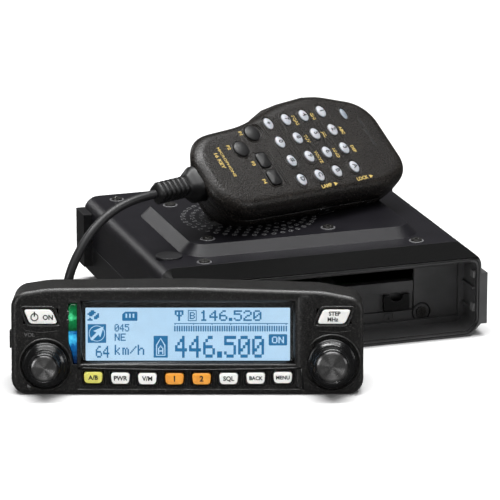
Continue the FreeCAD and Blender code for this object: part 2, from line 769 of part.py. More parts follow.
def screw_solid(name, seat, axis, sign, head=2.4, shank=1.3, reach=3.0, thick=0.9):
    """A pan-head screw: seat is the point where its head meets the surface."""
    at_axis = "xyz".index(axis)
    head_start = list(seat)
    shank_start = list(seat)
    if sign > 0:
        shank_start[at_axis] = as_size(seat[at_axis]) - reach
    else:
        head_start[at_axis] = as_size(seat[at_axis]) - thick
    parts = [cylinder(name + "_head", head_start, head, thick, axis),
             cylinder(name + "_shank", shank_start, shank, reach, axis)]
    slot_low = [as_size(value) for value in seat]
    slot_high = [as_size(value) for value in seat]
    depth = 0.5
    slots = []
    for turn in range(2):
        low, high = list(slot_low), list(slot_high)
        flat = [index for index in range(3) if index != at_axis]
        wide, narrow = flat if turn == 0 else flat[::-1]
        low[wide], high[wide] = low[wide] - 1.4, high[wide] + 1.4
        low[narrow], high[narrow] = low[narrow] - 0.3, high[narrow] + 0.3
        outer = thick if sign > 0 else -thick
        inner = outer - sign * depth
        ends = sorted((outer + sign, inner))
        low[at_axis], high[at_axis] = low[at_axis] + ends[0], high[at_axis] + ends[1]
        slots.append(box(f"{name}_slot_{turn}", low, high))
    return cut(name, fuse(name + "_blank", *parts), *slots)


# ---------------------------------------------------------------- control head
def head_blank(name, inset, back, depth):
    """The head's outer form, or its hollow when it is set in by a wall."""
    body = new_body(name)
    outline = new_sketch(body, name + "_outline", "XY_Plane", -back)
    left = -dim.head_left + inset
    right = dim.head_right - inset
    polygon(outline, [(left, inset), (right, inset), (right, dim.shoulder_right - inset),
                      (dim.crown_right_x, dim.crown_right_y - inset),
                      (0, dim.head_crown - inset),
                      (-dim.crown_left_x, dim.crown_left_y - inset),
                      (left, dim.shoulder_left - inset)])
    pad(body, outline, depth)
    corner = dim.head_corner - inset
    round_edges(body, corner, lambda edge: along(edge, "z")
                and not left.number + 0.1 < edge.Vertexes[0].X < right.number - 0.1)
    round_edges(body, 40, lambda edge: along(edge, "z")
                and 50 < abs(edge.Vertexes[0].X) < 62 and edge.Vertexes[0].Y > 30)
    return body


def head_floor_cut(name):
    """The wedge below the floor on which the tilted head stands."""
    body = new_body(name)
    side = new_sketch(body, name + "_side", "YZ_Plane", -90)
    run = dim.head_depth + 10
    drop = math.tan(math.radians(dim.head_tilt.number))
    polygon(side, [(-12, 2), (-2 * drop, 2), (run * drop, -run), (-12, -run)])
    pad(body, side, 180)
    return body


def row_key_places():
    return [(dim.row_key_first + index * dim.row_key_pitch,
             dim.row_key_y + 0.045 * (index - 3.5) * (index - 3.5))
            for index in range(8)]


def make_head_shells():
    """Front bezel and rear case of the control head."""
    wall = dim.head_wall
    outer = head_blank("head_outer", as_size(0), dim.head_depth, dim.head_depth)
    round_edges(outer, 2.2, lambda edge: level(edge, "z", 0) or level(edge, "z", -dim.head_depth))
    inner = head_blank("head_inner", wall, dim.head_depth - wall,
                       dim.head_depth - wall - dim.face_wall)
    raised = box("head_floor_wall", (-71, -5, -dim.head_depth + wall),
                 (71, 6.4, -dim.head_depth + wall + 12))
    hollow = cut("head_hollow", inner, raised)
    shell = cut("head_shell", outer, hollow, head_floor_cut("floor_wedge"))
    split = -dim.head_split
    front_half = box("head_front_half", (-80, -5, split), (80, 50, 5))
    rear_half = box("head_rear_half", (-80, -5, -40), (80, 50, split))
    openings = [box("screen_opening", (dim.screen_left, dim.screen_low, -4),
                    (dim.screen_right, dim.screen_high, 1)),
                box("guide_opening", (dim.guide_left - 0.1, 13, -4),
                    (dim.guide_left + dim.guide_width + 0.1, 40.3, 1)),
                cylinder("volume_hole", (dim.volume_x, dim.volume_y, -4), 3.6, 6),
                cylinder("dial_hole", (dim.dial_x, dim.dial_y, -4), 3.6, 6),
                cylinder("volume_seat_cut", (dim.volume_x, dim.volume_y, -1),
                         dim.volume_seat, 2),
                cylinder("dial_seat_cut", (dim.dial_x, dim.dial_y, -1), dim.dial_seat, 2),
                box("key_bar_recess", (-47.5, 2.4, -0.8), (46.0, 11.6, 1))]
    for index, (x, y) in enumerate(row_key_places()):
        half_x = dim.row_key_width / 2 + dim.key_gap
        half_y = dim.row_key_height / 2 + dim.key_gap
        openings.append(box(f"row_key_opening_{index}", (x - half_x, y - half_y, -4),
                            (x + half_x, y + half_y, 1)))
    for name, x in (("power", dim.power_key_x), ("band", dim.band_key_x)):
        half_x = dim.top_key_width / 2 + dim.key_gap
        half_y = dim.top_key_height / 2 + dim.key_gap
        openings.append(box(f"{name}_opening", (x - half_x, dim.top_key_y - half_y, -4),
                            (x + half_x, dim.top_key_y + half_y, 1)))
    bezel = cut("bezel_finished", common("bezel_blank", shell, front_half), *openings)
    add_node("head_bezel", bezel, head_frame)
    socket = box("head_socket_hole", (-8, 12, -dim.head_depth - 1), (8, 22, -dim.head_depth + 3))
    screw_holes = [cylinder(f"head_screw_hole_{index}", (x, y, -dim.head_depth - 1), 1.4, 4)
                   for index, (x, y) in enumerate(head_screw_places())]
    bump = box("side_flap", (-dim.head_left - 1.4, 18, -18),
               (-dim.head_left + 0.5, 25.4, -13))
    rear_shell = fuse("rear_case_blank", common("rear_case_half", shell, rear_half), bump)
    add_node("head_back", cut("rear_case_finished", rear_shell, socket, *screw_holes), head_frame)


def head_screw_places():
    return [(-63, 12), (63, 12), (-63, 34), (63, 34)]


def make_head_inside():
    """Window, liquid-crystal module on its board, light guides and screws."""
    window = box("window_plate", (dim.screen_left - 0.8, dim.screen_low - 1, -4.0),
                 (dim.screen_right + 1.6, dim.screen_high + 1, -2.7))
    add_node("lcd_window", fuse("window_finished", window, box(
        "window_boss", (dim.screen_left + 0.3, dim.screen_low + 0.3, -2.8),
        (dim.screen_right - 0.3, dim.screen_high - 0.3, -2.2))), head_frame)
    board = box("head_board", (-64, 7.2, -11.6), (64, 39, -10.2))
    panel = box("lcd_panel", (dim.screen_left, 12.4, -10.4), (dim.screen_right + 1, 39.6, -4.2))
    encoders = []
    for name, x, y in (("volume", dim.volume_x, dim.volume_y), ("dial", dim.dial_x, dim.dial_y)):
        can = cylinder(f"{name}_encoder_can", (x, y, -10.4), 5.6, 4.4)
        bore = cylinder(f"{name}_encoder_bore", (x, y, -9.6), dim.stem_radius + 0.06, 6)
        encoders.append(cut(f"{name}_encoder", can, bore))
    add_node("display_module", fuse("display_finished", board, panel, *encoders), head_frame)
    right = dim.guide_left + dim.guide_width
    green = box("green_guide", (dim.guide_left, 27.3, -5), (right, 40.2, 0.2))
    blue = box("blue_guide", (dim.guide_left, 13.1, -5), (right, 27.1, 0.2))
    add_node("light_guides", fuse("guides_finished", green, blue), head_frame)
    screws = [screw_solid(f"head_screw_{index}", (x, y, -dim.head_depth), "z", -1)
              for index, (x, y) in enumerate(head_screw_places())]
    add_node("head_screws", fuse("head_screws_all", *screws), head_frame)


def make_knob(label, x, y, skirt, cap):
    """A stepped knob with a dished cap and a stem that enters its encoder."""
    body = new_body(label + "_body")
    half = new_sketch(body, label + "_half", "XZ_Plane")
    reach = dim.knob_reach
    polygon(half, [(0, -9.3), (dim.stem_radius, -9.3), (dim.stem_radius, -0.6),
                   (skirt, -0.6), (skirt, 1.8), (skirt - 1.2, 3.0), (cap + 1.3, 3.6),
                   (cap + 0.9, reach - 0.8), (cap + 0.2, reach), (cap - 0.8, reach - 0.5),
                   (0, reach - 0.9)])
    revolve(body, half, "V_Axis")
    doc.recompute()
    place = FreeCAD.Placement(FreeCAD.Vector(x.number, y.number, 0), FreeCAD.Rotation())
    body.Placement = head_frame.multiply(place)
    add_node(label, body)


def make_head_key(label, x, y, width, height, corner):
    """A rubber-backed key: cap through the bezel, wider foot behind it."""
    body = new_body(label + "_body")
    cap = new_sketch(body, label + "_cap", "XY_Plane", -5)
    rectangle(cap, x - width / 2, y - height / 2, x + width / 2, y + height / 2)
    pad(body, cap, dim.key_proud + 5)
    round_edges(body, corner, lambda edge: along(edge, "z"))
    foot = new_sketch(body, label + "_foot", "XY_Plane", -4.4)
    rectangle(foot, x - width / 2 - 0.9, y - height / 2 - 0.6, x + width / 2 + 0.9,
              y + height / 2 + 0.6)
    pad(body, foot, 1.5)
    add_node(label, body, head_frame)


# ---------------------------------------------------------------- hand microphone
def mic_blank(name, inset):
    """The microphone's outer form, or its hollow when it is set in by a wall."""
    body = new_body(name)
    outline = new_sketch(body, name + "_outline", "XY_Plane", -dim.mic_thick + inset)
    tail = dim.mic_tail + inset
    nose = dim.mic_nose - inset
    corners = [(x + inset * in_x, y + inset * in_y) for x, y, in_x, in_y, radius in MIC_CORNERS]
    polygon(outline, corners)
    pad(body, outline, dim.mic_thick - 2 * inset)
    for (x, y), (_, _, _, _, radius) in zip(corners, MIC_CORNERS):
        bend = radius - inset if radius > 0 else inset - radius
        round_edges(body, bend, lambda edge: along(edge, "z")
                    and abs(edge.Vertexes[0].X - x.number) < 0.01
                    and abs(edge.Vertexes[0].Y - y.number) < 0.01)
    sides = new_sketch(body, name + "_bevels", "YZ_Plane")
    slope = (dim.mic_thick - dim.mic_bevel_start) / (dim.mic_bevel_outer - dim.mic_bevel_half)
    for side in (-1, 1):
        low = (side * (dim.mic_bevel_half - 0.67 * inset - 2),
               -dim.mic_thick - 2 * slope + 0.74 * inset)
        high = (side * (dim.mic_bevel_outer + 4 - 0.67 * inset),
                -dim.mic_bevel_start + 4 * slope + 0.74 * inset)
        polygon(sides, [low, (side * (dim.mic_bevel_outer + 4), -dim.mic_thick - 3), high])
    pocket(body, sides, 200, both_ways=True)
    ends = new_sketch(body, name + "_ends", "XZ_Plane")
    polygon(ends, [(nose - 9, -dim.mic_thick - 1 + inset), (nose + 1, -dim.mic_thick - 1 + inset),
                   (nose + 1, -dim.mic_bevel_start - 1 + inset)])
    polygon(ends, [(tail + 15, -dim.mic_thick - 1 + inset), (tail - 1, -dim.mic_thick - 1 + inset),
                   (tail - 1, -6.5 + inset / 2)])
    pocket(body, ends, 80, both_ways=True)
    round_edges(body, 4 - inset, lambda edge: level(edge, "z", -inset))
    return body


def keypad_places():
    """Key names and centres: rows run along the microphone, columns across it."""
    names = ("key_1", "key_2", "key_3", "key_a", "key_4", "key_5", "key_6", "key_b",
             "key_7", "key_8", "key_9", "key_c", "key_star", "key_0", "key_hash", "key_d")
    places = []
    for index, name in enumerate(names):
        row, column = divmod(index, 4)
        x = dim.keypad_row_first - row * dim.keypad_row_pitch
        y = dim.keypad_column_first - column * dim.keypad_column_pitch
        places.append((name, x - (1 if column == 3 else 0), y))
    return places


def program_key_places():
    """Name, centre and half sizes; the first two keys are round."""
    return [("p1_key", -25.2, 12.8, 4.0, 4.0), ("p2_key", -36.0, 6.4, 4.0, 4.0),
            ("p3_key", -28.2, -1.6, 3.1, 4.0), ("p4_key", -28.2, -11.2, 3.1, 4.0)]


def program_key_block(name, place, grow, low, high):
    """An upright round or squarish block around a programmable key's centre."""
    _, x, y, half_x, half_y = place
    if half_x == half_y:
        return cylinder(name, (x, y, low), half_x + grow, as_size(high) - low)
    return box(name, (x - half_x - grow, y - half_y - grow, low),
               (x + half_x + grow, y + half_y + grow, high))


def switch_places():
    """Slide switches in the near side wall: name, place along it and the wall's face."""
    return [("lamp_switch", 1.0, -26.6), ("lock_switch", 26.0, -27.8)]


def mic_screw_places():
    return [(-44, -7), (-44, 7), (28, -7), (28, 7)]


def make_mic_shells():
    """Front and back halves of the microphone case."""
    outer = mic_blank("mic_outer", as_size(0))
    inner = mic_blank("mic_inner", dim.mic_wall)
    shell = cut("mic_shell", outer, inner)
    split = -dim.mic_split
    front_half = box("mic_front_half", (-100, -40, split), (60, 40, 5))
    back_half = box("mic_back_half", (-100, -40, -40), (60, 40, split))
    lever_window = box("lever_window", (-15.4, 19.5, -16.8), (24.9, 40, -5.8))
    boot_window = box("boot_window", (dim.mic_tail - 3, -4.3, -14.0),
                      (dim.mic_tail + 6, 4.3, -5.4))
    openings = []
    for name, x, y in keypad_places():
        openings.append(oval(name + "_opening", (x, y), dim.keypad_key_long + dim.key_gap,
                             dim.keypad_key_short + dim.key_gap, -4, 1))
    for place in program_key_places():
        openings.append(program_key_block(place[0] + "_opening", place, dim.key_gap, -4, 2))
    switch_windows = [box(name + "_window", (x - 3.3, wall - 3, -15.2), (x + 6.3, wall + 3.6, -11.4))
                      for name, x, wall in switch_places()]
    sound_holes = [box(f"sound_slot_{index}", (36.4, y, -4), (37.4, y + 4, 1))
                   for index, y in enumerate((-7.5, -2, 3.5))]
    lens_hole = oval("lens_hole", (30.4, 12), 3.1, 1.6, -0.8, 1)
    add_node("mic_front", cut("mic_front_finished", common("mic_front_blank", shell, front_half),
                              lever_window, boot_window, lens_hole, *openings, *sound_holes),
             mic_frame)
    stud_neck = cylinder("stud_neck", (4, 0, -dim.mic_thick - 2.4), 3, 3.4)
    stud_head = cylinder("stud_head", (4, 0, -dim.mic_thick - 4.6), 5, 2.4)
    screw_holes = [cylinder(f"mic_screw_hole_{index}", (x, y, -dim.mic_thick - 1), 1.4, 4)
                   for index, (x, y) in enumerate(mic_screw_places())]
    back = cut("mic_back_cut", common("mic_back_blank", shell, back_half), lever_window,
               boot_window, *switch_windows, *screw_holes)
    add_node("mic_back", fuse("mic_back_finished", back, stud_neck, stud_head), mic_frame)


def make_mic_boot():
    """Ribbed strain relief where the cord leaves the microphone."""
    body = new_body("boot_body")
    half = new_sketch(body, "boot_half", "XY_Plane")
    start = dim.boot_end
    points = [(start, 0), (start, 3.5)]
    for index in range(5):
        rib_end = start + 2.4 + 3.0 * index
        points += [(rib_end, 3.6), (rib_end + 0.2, 2.8), (rib_end + 0.8, 2.8), (rib_end + 1, 3.7)]
    points += [(start + 18.5, 4.1), (start + 21, 5.2), (start + 21, 0)]
    polygon(half, points)
    revolve(body, half, "H_Axis")
    doc.recompute()
    turned = body
    tenon = box("boot_tenon", (dim.mic_tail - 2, -4.1, -4.1), (dim.mic_tail + 5, 4.1, 4.1))
    whole = fuse("boot_finished", turned, tenon)
    drop = FreeCAD.Placement(FreeCAD.Vector(0, 0, -dim.boot_axis_depth.number), FreeCAD.Rotation())
    add_node("mic_boot", whole, mic_frame.multiply(drop))


def make_mic_controls():
    """Push-to-talk lever, slide switches, keypad and programmable keys."""
    lever = new_body("lever_body")
    outline = new_sketch(lever, "lever_outline", "XY_Plane", -16.4)
    polygon(outline, [(-15, 20.5), (24.5, 20.5), (24.5, 27.6), (20, 28.9), (4, 28.3),
                      (-6, 27.0), (-15, 23.6)])
    pad(lever, outline, 10.2)
    round_edges(lever, 1, lambda edge: level(edge, "z", -16.4 + 10.2)
                and edge.BoundBox.YMin > 23)
    add_node("ptt_lever", lever, mic_frame)
    for name, x, wall in switch_places():
        slider = box(name + "_slider", (x - 2.9, wall + 0.6, -14.9), (x + 2.9, wall + 3.2, -11.7))
        thumb = box(name + "_thumb", (x - 1.2, wall - 0.8, -14.1), (x + 1.2, wall + 0.9, -12.1))
        add_node(name, fuse(name + "_finished", slider, thumb), mic_frame)
    for place in program_key_places():
        name = place[0]
        stem = program_key_block(name + "_stem", place, 0, -5, 1)
        foot = program_key_block(name + "_foot", place, 0.7, -4, -2.4)
        add_node(name, fuse(name + "_finished", stem, foot), mic_frame)
    for name, x, y in keypad_places():
        add_node(name, fuse(name + "_finished", oval(
            name + "_cap", (x, y), dim.keypad_key_long, dim.keypad_key_short, -5,
            dim.keypad_key_proud), oval(
                name + "_flange", (x, y), dim.keypad_key_long + 0.7,
                dim.keypad_key_short + 0.7, -4, -2.4)), mic_frame)


def make_mic_inside():
    """Circuit board with the microphone capsule, and the case screws."""
    board = box("keypad_board", (-45, -15, -11.6), (40, 15, -10.2))
    capsule = cylinder("capsule", (37, 0, -10.4), 3, 5.8)
    add_node("mic_board", fuse("mic_board_finished", board, capsule), mic_frame)
    screws = [screw_solid(f"mic_screw_{index}", (x, y, -dim.mic_thick), "z", -1)
              for index, (x, y) in enumerate(mic_screw_places())]
    add_node("mic_screws", fuse("mic_screws_all", *screws), mic_frame)


# ---------------------------------------------------------------- cord
def cord_tube(route, radius):
    """A round tube of straight runs joined by tangent arcs, as large as the runs allow."""
    points = [FreeCAD.Vector(*point) for point in route]
    edges = []
    start = points[0]
    length = 0.0
    radii = []
    for before, corner, after in zip(points, points[1:], points[2:]):
        arriving = (corner - before).normalize()
        leaving = (after - corner).normalize()
        turn = arriving.getAngle(leaving)
        shorter = min((corner - before).Length, (after - corner).Length)
        trim = 0.45 * shorter
        bend = trim / math.tan(turn / 2)
        radii.append(round(bend, 1))
        arc_start = corner - arriving * trim
        arc_end = corner + leaving * trim
        inward = (leaving - arriving).normalize()
        centre = corner + inward * (bend / math.cos(turn / 2))
        arc_middle = centre - inward * bend
        edges.append(Part.LineSegment(start, arc_start).toShape())
        edges.append(Part.Arc(arc_start, arc_middle, arc_end).toShape())
        length += (arc_start - start).Length + bend * turn
        start = arc_end
    edges.append(Part.LineSegment(start, points[-1]).toShape())
    length += (points[-1] - start).Length
    path = Part.Wire(edges)
    first = points[1] - points[0]
    profile = Part.Wire([Part.makeCircle(radius, points[0], first)])
    tube = path.makePipeShell([profile], True, False, 2)
    expected = math.pi * radius * radius * length
    print("cord: length %.1f, bend radii %s, volume %.4f of section times length"
          % (length, radii, tube.Volume / expected))
    return tube


def make_cord():
    """The lead from the strain relief, its coil on the floor, and the plug."""
    radius = dim.cord_diameter.number / 2
    shape_node("cord_lead", cord_tube(CORD_ROUTE, radius))
    add_node("cord_coil", ring("coil_solid", (dim.coil_x, dim.coil_y, 0), dim.coil_outer,
                               dim.coil_inner, dim.coil_height))
    exit_angle = math.radians(35)
    turn_radius = dim.coil_outer.number - radius
    exit_point = FreeCAD.Vector(dim.coil_x.number + turn_radius * math.cos(exit_angle),
                                dim.coil_y.number + turn_radius * math.sin(exit_angle), 0)
    heading = math.degrees(exit_angle) + 90
    half = dim.plug_width / 2
    tail = cylinder("plug_tail", (8, 0, 2.9), 2.8, 8.5, "x")
    shell = box("plug_shell", (16, -half, 0.2), (16 + dim.plug_length, half, dim.plug_height - 1))
    clip = box("plug_clip", (20, -2, dim.plug_height - 1.2), (36, 2, dim.plug_height))
    cord_end = cylinder("plug_cord_end", (2.5, 0, 2.1), radius, 6, "x")
    frame = FreeCAD.Placement(exit_point, FreeCAD.Rotation(FreeCAD.Vector(0, 0, 1), heading))
    add_node("mic_plug", fuse("plug_finished", tail, shell, clip, cord_end), frame)


def build():
    make_chassis()
    make_top_cover()
    make_dock_frame()
    make_bay_jacks()
    make_speaker()
    make_main_board()
    make_fan()
    make_antenna_socket()
    make_rear_jacks()
    make_radio_screws()
    make_head_shells()
    make_head_inside()
    make_knob("volume_knob", dim.volume_x, dim.volume_y, dim.volume_seat - 0.6, 6.5)
    make_knob("dial_knob", dim.dial_x, dim.dial_y, dim.dial_seat - 0.6, 7.8)
    for label, x in (("power_key", dim.power_key_x), ("band_key", dim.band_key_x)):
        make_head_key(label, x, dim.top_key_y, dim.top_key_width, dim.top_key_height, 2)
    for index, (x, y) in enumerate(row_key_places(), start=1):
        make_head_key(f"function_key_{index}", x, y, dim.row_key_width, dim.row_key_height, 1.2)
    make_mic_shells()
    make_mic_boot()
    make_mic_controls()
    make_mic_inside()
    make_cord()


def check_and_write():
    doc.recompute()
    for item in doc.Objects:
        if "Invalid" in item.State or "Error" in item.State:
            raise ValueError(f"{item.Name} failed: {item.State}")
    os.makedirs("parts", exist_ok=True)
    for item in nodes:
        if item.Shape.isNull() or not item.Shape.isValid():
            raise ValueError(f"{item.Label} has no valid shape")
        item.Shape.exportStep(os.path.join("parts", f"{item.Label}.step"))
    print(f"{len(nodes)} sub-parts written")


build()
check_and_write()
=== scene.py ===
# The looks of the mobile transceiver.  Metres, +Z up; the radio's front faces -Y.
import bpy
import bmesh
from math import atan2, copysign, cos, pi, radians, sin, tan
from mathutils import Matrix, Vector


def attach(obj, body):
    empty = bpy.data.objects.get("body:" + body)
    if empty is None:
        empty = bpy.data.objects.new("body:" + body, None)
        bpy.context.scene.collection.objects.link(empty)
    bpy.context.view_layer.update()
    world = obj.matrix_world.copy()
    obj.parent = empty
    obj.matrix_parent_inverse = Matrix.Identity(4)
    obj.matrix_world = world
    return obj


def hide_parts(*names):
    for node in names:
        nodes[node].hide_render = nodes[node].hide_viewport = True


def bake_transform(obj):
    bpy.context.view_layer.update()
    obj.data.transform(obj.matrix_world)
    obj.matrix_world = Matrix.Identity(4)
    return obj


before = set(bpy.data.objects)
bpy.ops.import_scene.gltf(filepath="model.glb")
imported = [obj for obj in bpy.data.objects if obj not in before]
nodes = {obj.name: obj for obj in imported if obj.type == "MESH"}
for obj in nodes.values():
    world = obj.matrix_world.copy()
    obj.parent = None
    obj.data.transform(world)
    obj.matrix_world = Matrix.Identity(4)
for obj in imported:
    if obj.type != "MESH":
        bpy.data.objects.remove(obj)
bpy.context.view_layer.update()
MM = 0.001


def local_frame(corner, yaw, tilt):
    """Places a sub-assembly's own axes in the row frame; the corner is in mm."""
    return (Matrix.Translation(Vector(corner) * MM) @ Matrix.Rotation(radians(yaw), 4, "Z")
        @ Matrix.Rotation(radians(tilt), 4, "X"))


def added(name, data):
    """A new object that holds the data, linked to the scene."""
    item = bpy.data.objects.new(name, data)
    bpy.context.scene.collection.objects.link(item)
    return item


HEAD = local_frame((-75.3, -107.8, 0.0), -18.12, 81.0)
MIC = local_frame((13.72, -0.18, 73.16), 24.0, 42.0)
RADIO = Matrix.Identity(4)
FRONT = Matrix.Rotation(radians(90), 4, "X")


# ---------------------------------------------------------------- camera
camera_data = bpy.data.cameras.new("camera")
camera_data.lens = 291.5
camera_data.sensor_width = 36.0
camera_data.clip_start = 0.05
camera = added("camera", camera_data)
camera.location = (-0.55457, -1.65412, 0.5501)
aim = Vector((-0.04587, -0.09922, 0.05868)) - camera.location
camera.rotation_euler = aim.to_track_quat("-Z", "Y").to_euler()
bpy.context.scene.camera = camera
bpy.context.scene.view_settings.view_transform = "Standard"


# ---------------------------------------------------------------- materials
def times(colour, share):
    return tuple(share * c for c in colour)


class Nodes:
    """Adds nodes to one material and links them."""

    def __init__(self, name):
        self.material = bpy.data.materials.new(name)
        self.material.use_nodes = True
        self.tree = self.material.node_tree
        self.shader = self.tree.nodes["Principled BSDF"]

    def add(self, kind, **values):
        node = self.tree.nodes.new("ShaderNode" + kind)
        for key, value in values.items():
            if key in node.inputs:
                node.inputs[key].default_value = value
            else:
                setattr(node, key, value)
        return node

    def link(self, start, end):
        self.tree.links.new(start, end)

    def put(self, socket, value):
        self.shader.inputs[socket].default_value = value

    def into(self, socket, source):
        self.link(source, self.shader.inputs[socket])

    def place(self):
        return self.add("TexCoord").outputs["Object"]

    def axes(self):
        node = self.add("SeparateXYZ")
        self.link(self.place(), node.inputs["Vector"])
        return node.outputs

    def noise(self, scale, detail=3.0):
        node = self.add("TexNoise", Scale=scale, Detail=detail, Roughness=0.55)
        self.link(self.place(), node.inputs["Vector"])
        return node.outputs["Fac"]

    def math(self, operation, first, second):
        """A source worked on by a number or by another source."""
        node = self.add("Math", operation=operation)
        self.link(first, node.inputs[0])
        if isinstance(second, float):
            node.inputs[1].default_value = second
        else:
            self.link(second, node.inputs[1])
        return node.outputs["Value"]

    def ramp(self, source, low, high, start=0.0, end=1.0):
        """The span from start to end becomes the span from low to high."""
        node = self.add("MapRange")
        for key, value in (("From Min", start), ("From Max", end), ("To Min", low), ("To Max", high)):
            node.inputs[key].default_value = value
        self.link(source, node.inputs["Value"])
        return node.outputs["Result"]

    def blend(self, factor, first, second):
        node = self.add("Mix", data_type="RGBA")
        self.link(factor, node.inputs["Factor"])
        for index, colour in ((6, first), (7, second)):
            if isinstance(colour, tuple):
                node.inputs[index].default_value = (*colour, 1.0)
            else:
                self.link(colour, node.inputs[index])
        return node.outputs[2]

    def mottle(self, source, first, second, start=0.3, end=0.7):
        """Two colours, mixed as the source goes from start to end."""
        return self.blend(self.ramp(source, 0.0, 1.0, start, end), first, second)

    def relief(self, height, strength, distance, edge=0.0):
        """Bump from a height, over edges that are rounded by the edge radius."""
        bump = self.add("Bump", Strength=strength, Distance=distance)
        self.link(height, bump.inputs["Height"])
        if edge > 0:
            bevel = self.add("Bevel", samples=4, Radius=edge)
            self.link(bevel.outputs["Normal"], bump.inputs["Normal"])
        self.into("Normal", bump.outputs["Normal"])

    def edge_wear_and_shade(self, colour, edge_colour, amount, radius=0.0006):
        """Mixes another colour in where the surface turns sharply: real edge wear on the grained surfaces,
        painted shade round the key caps.
        """
        bevel = self.add("Bevel", samples=4, Radius=radius)
        dot = self.add("VectorMath", operation="DOT_PRODUCT")
        self.link(bevel.outputs["Normal"], dot.inputs[0])
        self.link(self.add("NewGeometry").outputs["Normal"], dot.inputs[1])
        edge = self.ramp(dot.outputs["Value"], amount, 0.0, 0.8, 0.995)
        broken = self.math("MULTIPLY", edge, self.ramp(self.noise(900.0), 0.2, 1.0, 0.35, 0.6))
        return self.blend(broken, colour, edge_colour)


def grained(name, dark, pale, rough, scale, strength, edge=0.0003, wear=0.25, edge_colour=(0.1, 0.1, 0.1),
        cells=False, spread=0.08, specular=0.5, painted_shade_above=None, speckle=None):
    """A moulded or coated surface: fine grain, uneven tone and gloss, edge wear, and where asked a painted
    shade above a height.
    """
    make = Nodes(name)
    tone = make.mottle(make.noise(55.0, 5.0), dark, pale, 0.35, 0.65)
    # Painted shade: above the given height the tone drops to near black.
    if painted_shade_above is not None:
        upper = make.ramp(make.axes()["Z"], 0.0, 1.0, painted_shade_above, painted_shade_above + MM)
        tone = make.blend(upper, tone, times(dark, 0.04))
    if speckle is not None:
        tone = make.mottle(make.noise(1500.0, 2.0), tone, speckle, 0.52, 0.72)
    if wear > 0:
        tone = make.edge_wear_and_shade(tone, edge_colour, wear)
    make.into("Base Color", tone)
    height = make.noise(scale, 4.0)
    make.into("Roughness", make.math("ADD", make.ramp(height, -spread, spread, 0.3, 0.7), rough))
    make.put("Specular IOR Level", specular)
    if cells:
        pits = make.add("TexVoronoi", Scale=scale * 0.55)
        make.link(make.place(), pits.inputs["Vector"])
        height = make.math("MULTIPLY", height, make.ramp(pits.outputs["Distance"], 0.2, 1.0, 0.0, 0.6))
    make.relief(height, strength, 0.00012, edge)
    return make.material


def satin_key(name, colour, shade):
    """Satin translucent key cap, with painted shade that makes it a little darker round its edge."""
    make = Nodes(name)
    tone = make.mottle(make.noise(420.0, 3.0), colour, shade)
    # Painted shade: the rim of the key is darkened.
    make.into("Base Color", make.edge_wear_and_shade(tone, times(shade, 0.55), 0.7, 0.0004))
    make.into("Roughness", make.ramp(make.noise(3200.0), 0.3, 0.42))
    make.put("Subsurface Weight", 0.12)
    make.put("Subsurface Scale", 0.001)
    make.relief(make.noise(5200.0), 0.05, 0.00006)
    return make.material


def glowing(name, colour, shade):
    """A lit surface with a slightly uneven glow."""
    make = Nodes(name)
    cloud = make.noise(900.0, 2.0)
    make.into("Base Color", make.blend(make.ramp(cloud, 0.0, 1.0), times(colour, 0.15), times(shade, 0.2)))
    make.into("Emission Color", make.mottle(cloud, colour, shade))
    make.put("Emission Strength", 1.0)
    make.into("Roughness", make.ramp(cloud, 0.35, 0.5))
    return make.material


def lit_guide(name, dark, middle, bright, centre, reach):
    """A light guide: bright where its lamp is and darker away from it."""
    make = Nodes(name)
    away = make.add("VectorMath", operation="DISTANCE")
    make.link(make.place(), away.inputs[0])
    away.inputs[1].default_value = centre
    uneven = make.math("ADD", away.outputs["Value"],
        make.ramp(make.noise(700.0, 3.0), -0.0012, 0.0012, 0.3, 0.7))
    wide = make.ramp(uneven, 1.0, 0.0, 0.0, reach)
    core = make.ramp(uneven, 1.0, 0.0, 0.0, reach * 0.4)
    make.into("Base Color", make.blend(wide, times(dark, 0.2), times(middle, 0.2)))
    make.into("Emission Color", make.blend(core, make.blend(wide, dark, middle), bright))
    make.put("Emission Strength", 1.0)
    make.put("Roughness", 0.15)
    return make.material


def screen_light():
    """The back-lit screen: uneven pale blue, with the faint cell pattern of the glass."""
    make = Nodes("screen_light")
    axes = make.axes()
    waves = [make.ramp(make.math("PINGPONG", axes[axis], 0.00019), 0.0, 1.0, 0.0, 0.00006)
        for axis in ("X", "Y")]
    grid = make.blend(make.math("MINIMUM", *waves), (0.4, 0.62, 0.84), (0.47, 0.69, 0.88))
    cloud = make.ramp(make.noise(24.0, 2.0), 0.0, 1.0, 0.3, 0.7)
    make.into("Base Color", make.blend(cloud, (0.06, 0.09, 0.12), (0.08, 0.11, 0.14)))
    make.into("Emission Color", make.blend(cloud, grid, (0.5, 0.71, 0.89)))
    make.put("Emission Strength", 1.0)
    make.put("Roughness", 0.4)
    return make.material


def clear_plastic(name, tint, rough):
    make = Nodes(name)
    make.into("Base Color", make.mottle(make.noise(160.0), tint, times(tint, 0.97), 0.4, 0.6))
    make.into("Roughness", make.ramp(make.noise(700.0), rough, rough + 0.03))
    make.put("Transmission Weight", 1.0)
    make.put("IOR", 1.46)
    return make.material


